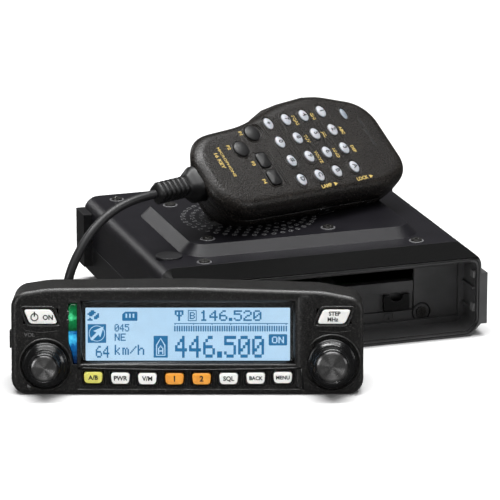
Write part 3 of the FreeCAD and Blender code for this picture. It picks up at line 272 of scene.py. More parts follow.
def spun_metal():
    """Dark anodised cap, turned on a lathe: fine rings and a radial sheen."""
    make = Nodes("spun_metal")
    axes = make.axes()
    flat = make.add("CombineXYZ")
    make.link(axes["X"], flat.inputs["X"])
    make.link(axes["Y"], flat.inputs["Y"])
    radius = make.add("VectorMath", operation="LENGTH")
    make.link(flat.outputs["Vector"], radius.inputs[0])
    noise = make.add("TexNoise", noise_dimensions="1D", Scale=9000.0, Detail=2.0)
    make.link(radius.outputs["Value"], noise.inputs["W"])
    rings = noise.outputs["Fac"]
    make.into("Base Color", make.mottle(rings, (0.26, 0.26, 0.265), (0.46, 0.455, 0.45)))
    make.put("Metallic", 1.0)
    make.into("Roughness", make.ramp(rings, 0.25, 0.38, 0.3, 0.7))
    make.put("Anisotropic", 0.9)
    make.put("Anisotropic Rotation", 0.25)
    make.into("Tangent", make.add("Tangent", direction_type="RADIAL", axis="Z").outputs["Tangent"])
    make.relief(rings, 0.12, 0.00002)
    return make.material


def metal(name, dark, pale, rough):
    """Plain metal with a fine grain."""
    make = Nodes(name)
    make.into("Base Color", make.mottle(make.noise(1800.0, 3.0), dark, pale, 0.35, 0.65))
    make.put("Metallic", 1.0)
    make.into("Roughness", make.ramp(make.noise(3600.0), rough - 0.08, rough + 0.1, 0.3, 0.7))
    make.relief(make.noise(5400.0), 0.1, 0.00005, 0.0002)
    return make.material


def ink(name, colour, shade):
    """Printed lettering, slightly broken where the grain shows through."""
    make = Nodes(name)
    make.into("Base Color", make.mottle(make.noise(5200.0, 3.0), shade, colour, 0.38, 0.6))
    make.put("Roughness", 0.5)
    make.relief(make.noise(3000.0), 0.1, 0.00005)
    return make.material


cover_paint = grained("cover_paint", (0.006, 0.0056, 0.0076), (0.009, 0.0084, 0.011), 0.36, 3400.0, 0.32,
    0.0004, 0.12, (0.1, 0.1, 0.11), specular=0.3)
cast_black = grained("cast_black", (0.005, 0.005, 0.0055), (0.008, 0.008, 0.0085), 0.42, 2200.0, 0.3, 0.0005,
    0.15)
frame_plastic = grained("frame_plastic", (0.005, 0.005, 0.0053), (0.008, 0.008, 0.0083), 0.34, 3000.0, 0.16,
    0.0003, 0.12)
# The dock frame gets painted shade above 34.5 mm, darkening the top of the bay and the card opening's
# underside.
dock_plastic = grained("dock_plastic", (0.06, 0.06, 0.061), (0.082, 0.082, 0.083), 0.42, 3000.0, 0.16,
    0.0003, 0.12, painted_shade_above=0.0345, specular=0.12)
head_plastic = grained("head_plastic", (0.0046, 0.0044, 0.0043), (0.0074, 0.0071, 0.0069), 0.32, 4200.0, 0.5,
    0.0005, 0.16, (0.09, 0.087, 0.084), specular=0.6, speckle=(0.045, 0.043, 0.041))
smooth_black = grained("smooth_black", (0.003, 0.003, 0.0033), (0.0045, 0.0045, 0.0048), 0.18, 2500.0, 0.05,
    0.0002, 0.08)
# Near black: the speaker's own colour, and painted shade where it lines gaps and stands in for slots and
# windows.
inner_black_and_shade = grained("inner_black_and_shade", (0.002, 0.002, 0.002), (0.0032, 0.0032, 0.0032), 0.55, 2500.0, 0.1, 0.0,
    0.0)
mic_plastic = grained("mic_plastic", (0.0042, 0.0034, 0.0029), (0.009, 0.0074, 0.0063), 0.32, 1900.0, 1.0,
    0.0004, 0.14, (0.09, 0.08, 0.07), cells=True, spread=0.14, specular=0.4, speckle=(0.04, 0.034, 0.029))
rubber = grained("rubber", (0.0045, 0.0045, 0.0048), (0.0075, 0.0075, 0.0078), 0.4, 2600.0, 0.2, 0.0002, 0.1)
cord_jacket = grained("cord_jacket", (0.011, 0.011, 0.012), (0.016, 0.016, 0.017), 0.42, 1900.0, 0.15, 0.0,
    0.0)
button_black = grained("button_black", (0.014, 0.014, 0.015), (0.02, 0.02, 0.021), 0.36, 3000.0, 0.16,
    0.0003, 0.12)
# A lighter grey for rims: a painted highlight.
rim_highlight = grained("rim_highlight", (0.1, 0.1, 0.105), (0.16, 0.16, 0.165), 0.3, 2600.0, 0.2, 0.0, 0.0)
key_white = satin_key("key_white", (0.86, 0.86, 0.83), (0.78, 0.78, 0.75))
key_yellow = satin_key("key_yellow", (0.72, 0.68, 0.16), (0.6, 0.56, 0.1))
key_orange = satin_key("key_orange", (0.86, 0.38, 0.045), (0.72, 0.27, 0.025))
keypad_pale = satin_key("keypad_pale", (0.44, 0.455, 0.485), (0.34, 0.36, 0.4))
lens_pale = satin_key("lens_pale", (0.26, 0.3, 0.34), (0.13, 0.16, 0.2))
print_dark = ink("print_dark", (0.008, 0.008, 0.009), (0.022, 0.022, 0.022))
print_gold = ink("print_gold", (0.72, 0.53, 0.14), (0.3, 0.22, 0.07))
print_grey = ink("print_grey", (0.16, 0.16, 0.16), (0.07, 0.07, 0.07))
screen_ink = glowing("screen_ink", (0.002, 0.13, 0.31), (0.003, 0.15, 0.345))
screen_pale = screen_light()
guide_green = lit_guide("guide_green", (0.001, 0.035, 0.01), (0.004, 0.24, 0.065), (0.1, 0.8, 0.36),
    (-0.0503, 0.0333, 0.0), 0.0065)
guide_blue = lit_guide("guide_blue", (0.001, 0.01, 0.045), (0.004, 0.15, 0.46), (0.08, 0.66, 0.95),
    (-0.0503, 0.024, 0.0), 0.009)
window_clear = clear_plastic("window_clear", (0.97, 0.985, 1.0), 0.0)
plug_clear = clear_plastic("plug_clear", (0.93, 0.93, 0.9), 0.06)
cap_metal = spun_metal()
steel = metal("steel", (0.11, 0.107, 0.102), (0.18, 0.175, 0.168), 0.3)
nickel = metal("nickel", (0.62, 0.6, 0.55), (0.74, 0.72, 0.67), 0.22)
gold = metal("gold_contact", (0.85, 0.6, 0.22), (0.95, 0.7, 0.3), 0.22)
board_green = grained("board_green", (0.01, 0.075, 0.03), (0.02, 0.12, 0.045), 0.35, 900.0, 0.3, 0.0002, 0.1,
    (0.3, 0.25, 0.1))


def dress(material, *names):
    """Give CAD nodes a material."""
    for name in names:
        data = nodes[name].data
        data.materials.clear()
        data.materials.append(material)


dress(cover_paint, "top_cover")
dress(cast_black, "chassis")
dress(dock_plastic, "dock_frame", "bay_jacks")
dress(frame_plastic, "fan_frame", "fan_rotor", "rear_jacks")
dress(inner_black_and_shade, "speaker")
dress(board_green, "main_board", "mic_board")
dress(nickel, "antenna_socket")
dress(steel, "radio_screws", "head_screws", "mic_screws")
dress(head_plastic, "head_bezel", "head_back")
dress(smooth_black, "display_module")
dress(window_clear, "lcd_window")
dress(mic_plastic, "mic_front", "mic_back", "ptt_lever")
dress(rubber, "lamp_switch", "lock_switch")
dress(plug_clear, "mic_plug")


# ---------------------------------------------------------------- mesh making
def rounded(low_x, low_y, high_x, high_y, radius, steps=6):
    """A rectangle with rounded corners, counter-clockwise."""
    points = []
    for x, y, start in ((high_x - radius, high_y - radius, 0), (low_x + radius, high_y - radius, 90),
            (low_x + radius, low_y + radius, 180), (high_x - radius, low_y + radius, 270)):
        for step in range(steps + 1):
            angle = radians(start + 90 * step / steps)
            points.append((x + radius * cos(angle), y + radius * sin(angle)))
    return points


def oval_outline(x, y, across, along, steps=32):
    return [(x + across * cos(2 * pi * step / steps), y + along * sin(2 * pi * step / steps))
        for step in range(steps)]


def on_circle(x, y, radius, angle):
    """A point of a circle, by its angle in degrees."""
    return x + radius * cos(radians(angle)), y + radius * sin(radians(angle))


def level(outline, height):
    """An outline as a ring of 3-D points at one height."""
    return [(x, y, height) for x, y in outline]


def neighbours(points):
    """Every point as a vector, with the one before it and the one after it."""
    vectors = [Vector(point[:2]) for point in points]
    return zip(vectors[-1:] + vectors[:-1], vectors, vectors[1:] + vectors[:1])


def softened(corners, radius, steps=5):
    """A polygon whose corners are cut back and rounded by tangent parabolas."""
    points = []
    for before, here, after in neighbours(corners):
        trim = min(radius, 0.45 * (before - here).length, 0.45 * (after - here).length)
        start = here + (before - here).normalized() * trim
        end = here + (after - here).normalized() * trim
        for step in range(steps + 1):
            t = step / steps
            points.append(tuple((1 - t) ** 2 * start + 2 * t * (1 - t) * here + t * t * end))
    return points


def filleted(corners, steps=10):
    """Corners given as x, y and radius, joined by straight sides and true arcs."""
    points = []
    for (before, here, after), (_, _, radius) in zip(neighbours(corners), corners):
        before = (before - here).normalized()
        after = (after - here).normalized()
        half = before.angle(after) / 2
        centre = here + (before + after).normalized() * radius / sin(half)
        start = here + before * radius / tan(half) - centre
        end = here + after * radius / tan(half) - centre
        first = atan2(start.y, start.x)
        sweep = (atan2(end.y, end.x) - first + pi) % (2 * pi) - pi
        for step in range(steps + 1):
            angle = first + sweep * step / steps
            points.append((centre.x + radius * cos(angle), centre.y + radius * sin(angle)))
    return points


def shrunk(points, amount):
    """The outline moved inwards by an amount, point by point."""
    result = []
    for before, here, after in neighbours(points):
        first = (here - before).normalized() if (here - before).length > 1e-9 else Vector((0, 0))
        second = (after - here).normalized() if (after - here).length > 1e-9 else Vector((0, 0))
        heading = first + second
        heading = heading.normalized() if heading.length > 1e-9 else Vector((1, 0))
        result.append(tuple(here + amount * Vector((-heading.y, heading.x))))
    return result


def meshed(curve):
    """The curve turned into a mesh; the curve itself is thrown away."""
    item = added(curve.name, curve)
    bpy.context.view_layer.update()
    data = bpy.data.meshes.new_from_object(item)
    bpy.data.objects.remove(item)
    bpy.data.curves.remove(curve)
    return data


class Piece:
    """Gathers a mesh in a sub-assembly's millimetres and makes it an object."""

    def __init__(self):
        self.mesh = bmesh.new()

    def loft(self, sections, slot=0, smooth=True, close=True):
        """Joins equal rings of 3-D points, and caps the two ends."""
        rings = [[self.mesh.verts.new(point) for point in section] for section in sections]
        count = len(rings[0])
        made = []
        for lower, upper in zip(rings, rings[1:]):
            for index in range(count):
                following = (index + 1) % count
                made.append(self.mesh.faces.new(
                    (lower[index], lower[following], upper[following], upper[index])))
        if close:
            made.append(self.mesh.faces.new(list(reversed(rings[0]))))
            made.append(self.mesh.faces.new(rings[-1]))
        for face in made:
            face.material_index = slot
            face.smooth = smooth
        if close:
            made[-1].smooth = made[-2].smooth = False

    def slab(self, outline, low, high, edge=0.0, slot=0, crown=0.0):
        """An outline raised from low to high, with a rounded rim and a crowned top."""
        sections = [level(outline, low)]
        if edge > 0:
            for step in range(4):
                angle = radians(30 * step)
                ring = shrunk(outline, edge * (1 - cos(angle))) if step else outline
                sections.append(level(ring, high - edge + edge * sin(angle)))
        else:
            sections.append(level(outline, high))
        if crown > 0:
            rim = shrunk(outline, edge)
            middle = Vector((sum(x for x, _ in rim) / len(rim), sum(y for _, y in rim) / len(rim)))
            for step in range(1, 6):
                t = 1 - step / 5.5
                sections.append([(middle.x + (x - middle.x) * t, middle.y + (y - middle.y) * t,
                    high + crown * (1 - t * t)) for x, y in rim])
        self.loft(sections, slot)

    def band(self, outline, width, low, high, slot=0):
        """A raised line that follows a closed outline, with a rounded back."""
        middle = low + (high - low) * 0.7
        stations = ((0, low), (0, middle), (0.25, high), (0.75, high), (1, middle), (1, low), (0, low))
        self.loft([level(shrunk(outline, width * share) if share else outline, height)
            for share, height in stations], slot, close=False)

    def bead(self, line, width, low, high):
        """A raised line with a rounded back along an open path on the face."""
        sections = []
        for index, (x, y) in enumerate(line):
            before, after = line[max(index - 1, 0)], line[min(index + 1, len(line) - 1)]
            ahead = (Vector(after) - Vector(before)).normalized()
            across = Vector((-ahead.y, ahead.x)) * width / 2
            ring = []
            for step in range(9):
                angle = pi * step / 8
                ring.append((x + across.x * cos(angle), y + across.y * cos(angle),
                    low + (high - low) * sin(angle)))
            sections.append(ring)
        self.loft(sections)

    def lathe(self, profile, steps, slot=0, ribs=0, depth=0.0, ribbed=(0.0, 0.0)):
        """A turned form about Z, given by radii and heights; ribs knurl it between two heights."""
        sections = []
        for radius, height in profile:
            ring = []
            for step in range(steps):
                angle = 2 * pi * step / steps
                knurled = ribs and ribbed[0] <= height <= ribbed[1]
                cut = depth * 0.5 * (1 - cos(ribs * angle)) if knurled else 0.0
                ring.append(((radius - cut) * cos(angle), (radius - cut) * sin(angle), height))
            sections.append(ring)
        self.loft(sections, slot)

    def block(self, low, high, edge=0.15, slot=0):
        """A box with chamfered upright edges and rims."""
        outline = rounded(low[0], low[1], high[0], high[1], edge, 2)
        inner = shrunk(outline, edge)
        self.loft([level(inner, low[2]), level(outline, low[2] + edge), level(outline, high[2] - edge),
            level(inner, high[2])], slot, smooth=False)

    def text(self, words, x, y, size, height, turn=0.0, thick=0.03, slot=0, stretch=1.0, bold=0.012):
        """Lettering centred on a point of the face, turned about its normal."""
        curve = bpy.data.curves.new("words", "FONT")
        curve.body = words
        curve.size = size
        curve.align_x = curve.align_y = "CENTER"
        curve.extrude = thick
        curve.resolution_u = 3
        curve.offset = size * bold
        data = meshed(curve)
        data.transform(Matrix.Translation((x, y, height)) @ Matrix.Rotation(radians(turn), 4, "Z")
            @ Matrix.Diagonal((stretch, 1.0, 1.0, 1.0)))
        start = len(self.mesh.faces)
        self.mesh.from_mesh(data)
        self.mesh.faces.ensure_lookup_table()
        for face in self.mesh.faces[start:]:
            face.material_index = slot
            face.smooth = False
        bpy.data.meshes.remove(data)

    def make(self, name, place, body, materials, slot, replaces=()):
        """Finish the object, put it in its frame and let it ride on a body."""
        bmesh.ops.recalc_face_normals(self.mesh, faces=self.mesh.faces)
        data = bpy.data.meshes.new(name)
        self.mesh.transform(Matrix.Diagonal((MM, MM, MM, 1.0)))
        self.mesh.to_mesh(data)
        self.mesh.free()
        for material in materials:
            data.materials.append(material)
        item = added(name, data)
        item.matrix_world = place
        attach(item, body)
        if replaces:
            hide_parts(*replaces)
        return item


# ---------------------------------------------------------------- cord
# The lead runs from the strain relief down to the floor, where the rest is wound up.
LEAD = [
    (-66.6, -28.8, 65.95),
    (-78.0, -33.9, 65.95),
    (-90.2, -39.0, 62.3),
    (-100.2, -43.1, 55.2),
    (-107.4, -46.3, 45.9),
    (-111.9, -48.7, 37.0),
    (-112.9, -49.4, 24.4),
    (-106.6, -47.6, 12.2),
]
COIL_X = -97.2
COIL_Y = -19.6
COIL_START = 286.0
PLUG_ANGLE = 35.0
PLUG_RADIUS = 24.0
WINDINGS = ((24, 6), (20, 6), (16, 6), (16, 2), (20, 2), (24, 2))
CORD_RADIUS = 2.0


def coil_points():
    """Six turns beside and on each other, with a slow step from one to the next."""
    hold = 280.0
    step_over = 40.0
    spare = (PLUG_ANGLE - COIL_START) % 360.0
    total = 5 * 360.0 + spare
    middle = 4 * hold + 5 * step_over
    end_hold = (total - middle) / 2
    marks = []
    angle = 0.0
    for index, (radius, height) in enumerate(WINDINGS):
        marks.append((angle, radius, height))
        angle += end_hold if index in (0, len(WINDINGS) - 1) else hold
        marks.append((angle, radius, height))
        angle += step_over
    points = []
    count = int(total / 20.0)
    for step in range(count + 1):
        at = total * step / count
        for (start, first_r, first_z), (end, last_r, last_z) in zip(marks, marks[1:]):
            if start <= at <= end + 1e-6:
                t = (at - start) / (end - start)
                t = t * t * (3 - 2 * t)
                radius = (first_r + (last_r - first_r) * t) / cos(radians(total / count / 2))
                heading = radians(COIL_START + at)
                points.append((COIL_X + radius * cos(heading), COIL_Y + radius * sin(heading),
                    first_z + (last_z - first_z) * t))
                break
    return points


def cord_curve(bevel):
    """The cord's centreline as one smooth spline, bare or with its round section."""
    leaving = radians(PLUG_ANGLE)
    ahead = Vector((-sin(leaving), cos(leaving), 0))
    end = Vector((COIL_X + PLUG_RADIUS * cos(leaving), COIL_Y + PLUG_RADIUS * sin(leaving), 2.1))
    route = LEAD + [(-96.6, -44.9, 6.2)] + coil_points() + [tuple(end + 7.5 * ahead)]
    curve = bpy.data.curves.new("cord_line", "CURVE")
    curve.dimensions = "3D"
    spline = curve.splines.new("NURBS")
    spline.points.add(len(route) - 1)
    for point, (x, y, z) in zip(spline.points, route):
        point.co = (x * MM, y * MM, z * MM, 1.0)
    spline.order_u = 3
    spline.use_endpoint_u = True
    spline.resolution_u = 8
    curve.bevel_depth = bevel
    curve.bevel_resolution = 5
    curve.use_fill_caps = True
    return meshed(curve)


centreline = cord_curve(0.0)
tube = cord_curve(CORD_RADIUS * MM)
tube.name = "cord"
tube.materials.append(cord_jacket)
for polygon in tube.polygons:
    polygon.use_smooth = True
cord = added("cord", tube)
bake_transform(cord)
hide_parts("cord_lead", "cord_coil")


def make_plug():
    """Clear eight-way plug with gilt contacts, its latch and the tie round the coil."""
    leaving = radians(PLUG_ANGLE)
    place = local_frame((COIL_X + PLUG_RADIUS * cos(leaving), COIL_Y + PLUG_RADIUS * sin(leaving), 0),
        PLUG_ANGLE + 90, 0)
    shell = Piece()
    shell.block((16.0, -5.85, 0.2), (38.0, 5.85, 7.0), 0.5)
    shell.block((20.0, -2.0, 6.8), (36.0, 2.0, 7.9), 0.3)
    plug = shell.make("plug_shell", place, "radio", [plug_clear], "plug_clear", replaces=["mic_plug"])
    parts = Piece()
    for index in range(8):
        y = -3.6 + 1.03 * index
        parts.block((31.5, y - 0.2, 3.6), (37.6, y + 0.2, 6.9), 0.05)
    parts.block((8.0, -2.6, 0.3), (16.2, 2.6, 5.5), 1.2, slot=1)
    parts.block((16.1, -1.9, 1.0), (31.0, 1.9, 4.2), 0.6, slot=1)
    inside = parts.make("plug_contacts", place, "radio", [gold, cord_jacket], "plug_clear")
    tie = Piece()
    sections = []
    for step in range(25):
        angle = 2 * pi * step / 24
        x = 20 + 6.15 * copysign(abs(cos(angle)) ** 0.5, cos(angle))
        z = 4.02 + 3.98 * copysign(abs(sin(angle)) ** 0.5, sin(angle))
        grow = Vector((x - 20, z - 4)).normalized() * 0.35
        sections.append([(x - grow.x, -1.3, z - grow.y), (x - grow.x, 1.3, z - grow.y), (x, 1.3, z),
            (x, -1.3, z)])
    tie.loft(sections, close=False)
    tie.block((25.0, -1.9, 3.0), (25.98, 1.9, 5.6), 0.3)
    at = local_frame((COIL_X, COIL_Y, 0), 150, 0)
    tie.make("cord_tie", at, "radio", [rubber], "rubber_black")
    return [plug, inside]


plug_pieces = make_plug()


# ---------------------------------------------------------------- control head: screen
GLYPHS = {
    "0": "01110 10001 10011 10101 11001 10001 01110",
    "1": "00100 01100 00100 00100 00100 00100 01110",
    "2": "01110 10001 00001 00110 01000 10000 11111",
    "4": "00010 00110 01010 10010 11111 00010 00010",
    "5": "11111 10000 11110 00001 00001 10001 01110",
    "6": "00110 01000 10000 11110 10001 10001 01110",
    "9": "01110 10001 10001 01111 00001 00010 01100",
    ".": "00 00 00 00 00 11 11",
    "k": "10000 10000 10010 10100 11000 10100 10010",
    "m": "00000 00000 11010 10101 10101 10101 10101",
    "/": "00000 00001 00010 00100 01000 10000 00000",
    "h": "10000 10000 10110 11001 10001 10001 10001",
    "N": "10001 11001 11001 10101 10011 10011 10001",
    "E": "11111 10000 10000 11110 10000 10000 11111",
    "A": "00100 01010 10001 10001 11111 10001 10001",
    "B": "11110 10001 10001 11110 10001 10001 11110",
    "O": "01110 10001 10001 10001 10001 10001 01110",
    "mast": "11111 10101 10101 01110 00100 00100 00100",
    "dish": "0011000 0111100 1111001 0110011 0000111 0100110 1110000",
}
DOT_SPILL = 0.05
SCREEN = -4.13
INK = 0.03


def dots(piece, name, left, low, right, high, z):
    """One dot-matrix sign that fills a box of the screen."""
    rows = GLYPHS[name].split()
    step_x = (right - left) / len(rows[0])
    step_y = (high - low) / len(rows)
    for row, line in enumerate(rows):
        top = high - row * step_y
        start = None
        for column in range(len(line) + 1):
            lit = column < len(line) and line[column] == "1"
            if lit and start is None:
                start = column
            if not lit and start is not None:
                x, far = left + start * step_x - DOT_SPILL, left + column * step_x + DOT_SPILL
                below = top - step_y - DOT_SPILL
                corners = [(x, below), (far, below), (far, top), (x, top)]
                piece.loft([level(corners, height) for height in (z, z + INK)], smooth=False)
                start = None


def dot_words(piece, words, left, low, right, high, z):
    """Signs side by side; a point takes less room than a figure."""
    widths = [len(GLYPHS[sign].split()[0]) + 1 for sign in words]
    unit = (right - left) / (sum(widths) - 1)
    x = left
    for sign, width in zip(words, widths):
        dots(piece, sign, x, low, x + unit * (width - 1), high, z)
        x += unit * width


def make_screen():
    """The lit screen with its dot-matrix figures, behind the window."""
    light = Piece()
    light.slab(rounded(-44.1, 14.1, 42.2, 36.7, 0.4), -4.19, -4.15, 0.01)
    light.make("screen_light", HEAD, "head", [screen_pale], "display_lit")
    marks = Piece()
    z = SCREEN
    dot_words(marks, "446.500", -6.3, 15.4, 31.2, 24.7, z)
    dot_words(marks, "146.520", 4.1, 31.1, 30.1, 35.6, z)
    dot_words(marks, "64", -39.8, 15.4, -34.1, 20.4, z)
    dot_words(marks, "km/h", -31.8, 16.6, -19.4, 20.9, z)
    dot_words(marks, "045", -31.8, 26.6, -25.7, 29.7, z)
    dot_words(marks, "NE", -31.8, 22.6, -27.2, 25.7, z)
    dots(marks, "dish", -43.2, 31.2, -38.4, 35.6, z)
    dots(marks, "mast", -6.4, 31.1, -2.8, 35.6, z)
    flag = [(-28.6, 31.1), (-22.2, 31.1), (-22.2, 35.0), (-27.4, 35.0), (-28.6, 33.9)]
    marks.slab(softened(flag, 0.4), z, z + INK)
    marks.band(rounded(-0.9, 31.0, 2.8, 35.7, 0.2), 0.35, z, z + INK)
    dots(marks, "B", -0.1, 31.9, 2.0, 34.8, z)
    patches = ((-43.2, 21.7, -35.4, 29.7, 0.2), (-15.4, 15.4, -9.4, 24.7, 0.2),
        (33.2, 20.6, 41.0, 25.4, 0.5))
    for box in patches:
        marks.slab(rounded(*box), z, z + 0.02)
    scale = [(-6.7, 29.75, 41.3, 30.1)]
    scale += [(-6.5 + 7.8 * index, 29.4, -6.5 + 7.8 * index + 0.4, 30.1) for index in range(7)]
    scale += [(-6.7 + index, 26.6, -6.7 + index + 0.6, 29.0) for index in range(48)]
    for box in scale:
        marks.slab(rounded(*box, 0.05), z, z + INK)
    marks.make("screen_marks", HEAD, "head", [screen_ink], "display_lit")
    cutouts = Piece()
    top = z + 0.04
    arrow = [(-36.4, 28.7), (-40.9, 26.8), (-39.5, 26.1), (-42.2, 23.4), (-41.4, 22.6), (-38.6, 25.3),
        (-37.9, 24.0)]
    cutouts.slab(list(reversed(arrow)), top, top + INK)
    cutouts.band(oval_outline(-39.3, 25.7, 3.4, 3.4), 0.28, top, top + 0.02)
    house = [(-14.4, 16.2), (-10.4, 16.2), (-10.4, 20.8), (-12.4, 23.9), (-14.4, 20.8)]
    cutouts.band(house, 0.55, top, top + INK)
    dots(cutouts, "A", -13.5, 17.0, -11.3, 20.6, top)
    dot_words(cutouts, "ON", 34.6, 21.6, 39.6, 24.4, top)
    for index in range(3):
        cutouts.block((-27.2 + 1.5 * index, 32.4, top), (-26.5 + 1.5 * index, 34.2, top + INK), 0.01)
    cutouts.make("screen_cutouts", HEAD, "head", [screen_pale], "display_lit")


# ---------------------------------------------------------------- control head: keys and knobs
KEY_PITCH = 11.42
KEY_ARC = 0.045
# Width, height, slant and corner of a top key, of its surround and of the gap round it.
TOP_KEY = ((14.3, 6.0, 2.6, 1.5), (18.4, 9.0, 3.2, 2.4), (14.9, 6.6, 2.6, 1.7))
SURROUND = ((0.2, 0.58), (0.45, 0.58), (0.7, 0.35), (0.9, -0.12))
# Each knob's place and the radii of its skirt, cap and seat.
KNOBS = (("volume_knob", -61.0, 13.0, 9.6, 5.9, 10.3), ("dial_knob", 59.8, 13.7, 10.3, 7.0, 11.4))
COLLAR = ((0, -0.9), (0, 0.1), (0.15, 0.38), (0.45, 0.46), (0.75, 0.3), (1.0, 0.0), (1.1, -0.2))
WHITE = (key_white, "key_white")
ORANGE = (key_orange, "key_orange")
FUNCTION_KEYS = (("A/B", key_yellow, "key_yellow"), ("PWR", *WHITE), ("V/M", *WHITE), ("1", *ORANGE),
    ("2", *ORANGE), ("SQL", *WHITE), ("BACK", *WHITE), ("MENU", *WHITE))


def lozenge(x, y, across, tall, slant, corner):
    """A slanted bar: its ends lean over to the right."""
    half, rise = across / 2, tall / 2
    return softened([(x - half, y - rise), (x + half - slant, y - rise), (x + half, y + rise),
        (x - half + slant, y + rise)], corner)


def mirrored(points, x):
    return [(2 * x - px, py) for px, py in reversed(points)]


def key_place(index):
    """The function keys stand on a shallow arc."""
    return -40.8 + KEY_PITCH * index, 6.9 + KEY_ARC * (index - 3.5) ** 2


def make_top_keys():
    """Slanted white keys in their sunk surrounds, one at each upper corner."""
    for name, x in (("power_key", -62.8), ("band_key", 60.7)):
        outlines = [lozenge(x, 33.5, *form) for form in TOP_KEY]
        if name == "power_key":
            outlines = [mirrored(outline, x) for outline in outlines]
        key_outline, well_outline, gap_outline = outlines
        key = Piece()
        key.slab(key_outline, -3.0, 0.75, 0.35, crown=0.12)
        if name == "power_key":
            key.text("ON", x + 3.1, 33.1, 2.8, 0.88, slot=1, bold=0.03)
            key.band(oval_outline(x - 2.6, 33.3, 1.7, 1.7, 24), 0.42, 0.86, 0.93, 1)
            key.block((x - 2.87, 33.6, 0.86), (x - 2.33, 35.6, 0.94), 0.03, slot=1)
        else:
            key.text("STEP", x + 0.2, 34.75, 2.35, 0.88, slot=1, bold=0.03)
            key.text("MHz", x - 0.6, 32.3, 2.35, 0.88, slot=1, bold=0.03)
        key.make(name + "_cap", HEAD, name, [key_white, print_dark], "key_white", replaces=[name])
        well = Piece()
        rings = [level(shrunk(well_outline, inset), height) for inset, height in SURROUND]
        well.loft([level(well_outline, -0.3), level(well_outline, 0.4)] + rings, close=False)
        # The gap's walls are near black: painted shade in the gap.
        well.loft([rings[-1], level(gap_outline, -0.25), level(gap_outline, -2.4)], 1, close=False)
        well.make(name + "_well", HEAD, "head", [head_plastic, inner_black_and_shade], "head_plastic")


def make_function_keys():
    """Eight small keys, each with its word, between low dividers."""
    for index, (word, colour, slot) in enumerate(FUNCTION_KEYS):
        x, y = key_place(index)
        name = f"function_key_{index + 1}"
        key = Piece()
        outline = softened([(x - 3.6, y - 2.35), (x + 3.6, y - 2.35), (x + 4.05, y + 2.4),
            (x - 4.05, y + 2.4)], 1.6)
        key.slab(outline, -3.0, 0.55, 0.4, crown=0.22)
        size = 3.3 if len(word) == 1 else (2.6 if len(word) < 4 else 2.15)
        key.text(word, x, y, size, 0.76, slot=1, thick=0.04, bold=0.03)
        key.make(name + "_cap", HEAD, name, [colour, print_dark], slot, replaces=[name])
    bar = Piece()
    for index in range(8):
        x, y = key_place(index)
        bar.band(softened([(x - 4.75, y - 3.35), (x + 4.75, y - 3.35), (x + 5.15, y + 3.4),
            (x - 5.15, y + 3.4)], 1.6), 0.75, -0.9, -0.35)
    for index in range(7):
        x, y = key_place(index + 0.5)
        bar.block((x - 0.16, y - 3.0, -0.9), (x + 0.16, y + 3.0, -0.2), 0.08)
    ledge = [(-47.0 + 3.03 * step, 10.75 + KEY_ARC * ((step * 3.03 - 6.2) / KEY_PITCH - 3.5) ** 2)
        for step in range(32)]
    bar.bead(ledge, 0.9, -0.1, 0.42)
    bar.bead([(46.9, 11.3), (47.3, 8.0), (47.6, 2.6)], 0.9, -0.1, 0.38)
    bar.make("key_bar_dividers", HEAD, "head", [smooth_black], "head_plastic")


def make_knobs():
    """Stepped knobs: glossy skirt, knurled grip and a spun metal cap."""
    for name, x, y, skirt, cap, seat in KNOBS:
        knob = Piece()
        grip = cap + 0.95
        knob.lathe([(3.0, -9.3), (3.0, -0.6), (skirt - 0.5, -0.6), (skirt, -0.1), (skirt, 1.0),
            (skirt - 0.25, 1.5), (skirt - 0.8, 1.75), (skirt - 1.0, 1.8), (skirt - 1.15, 2.3),
            (skirt - 1.5, 2.65), (grip + 0.35, 3.1), (grip + 0.1, 3.4), (grip, 3.8), (grip, 4.2),
            (grip - 0.1, 9.6), (grip - 0.16, 10.0), (grip - 0.3, 10.5), (grip - 0.5, 10.85),
            (cap + 0.15, 11.1), (cap + 0.02, 11.2), (cap - 0.12, 11.2), (cap - 0.28, 11.05),
            (cap - 0.35, 10.5), (0.1, 10.5)], 288, ribs=48, depth=0.2, ribbed=(3.8, 10.0))
        knob.lathe([(cap - 0.36, 10.55), (cap - 0.42, 10.98), (cap * 0.75, 10.87), (cap * 0.5, 10.75),
            (cap * 0.25, 10.7), (0.05, 10.68)], 192, slot=1)
        place = HEAD @ Matrix.Translation(Vector((x, y, 0)) * MM)
        knob.make(name + "_turned", place, name, [smooth_black, cap_metal], "knob_plastic", replaces=[name])
        collar = Piece()
        collar.loft([level(oval_outline(x, y, seat + out, seat + out, 96), height)
            for out, height in COLLAR], close=False)
        collar.make(name + "_collar", HEAD, "head", [head_plastic], "head_plastic")


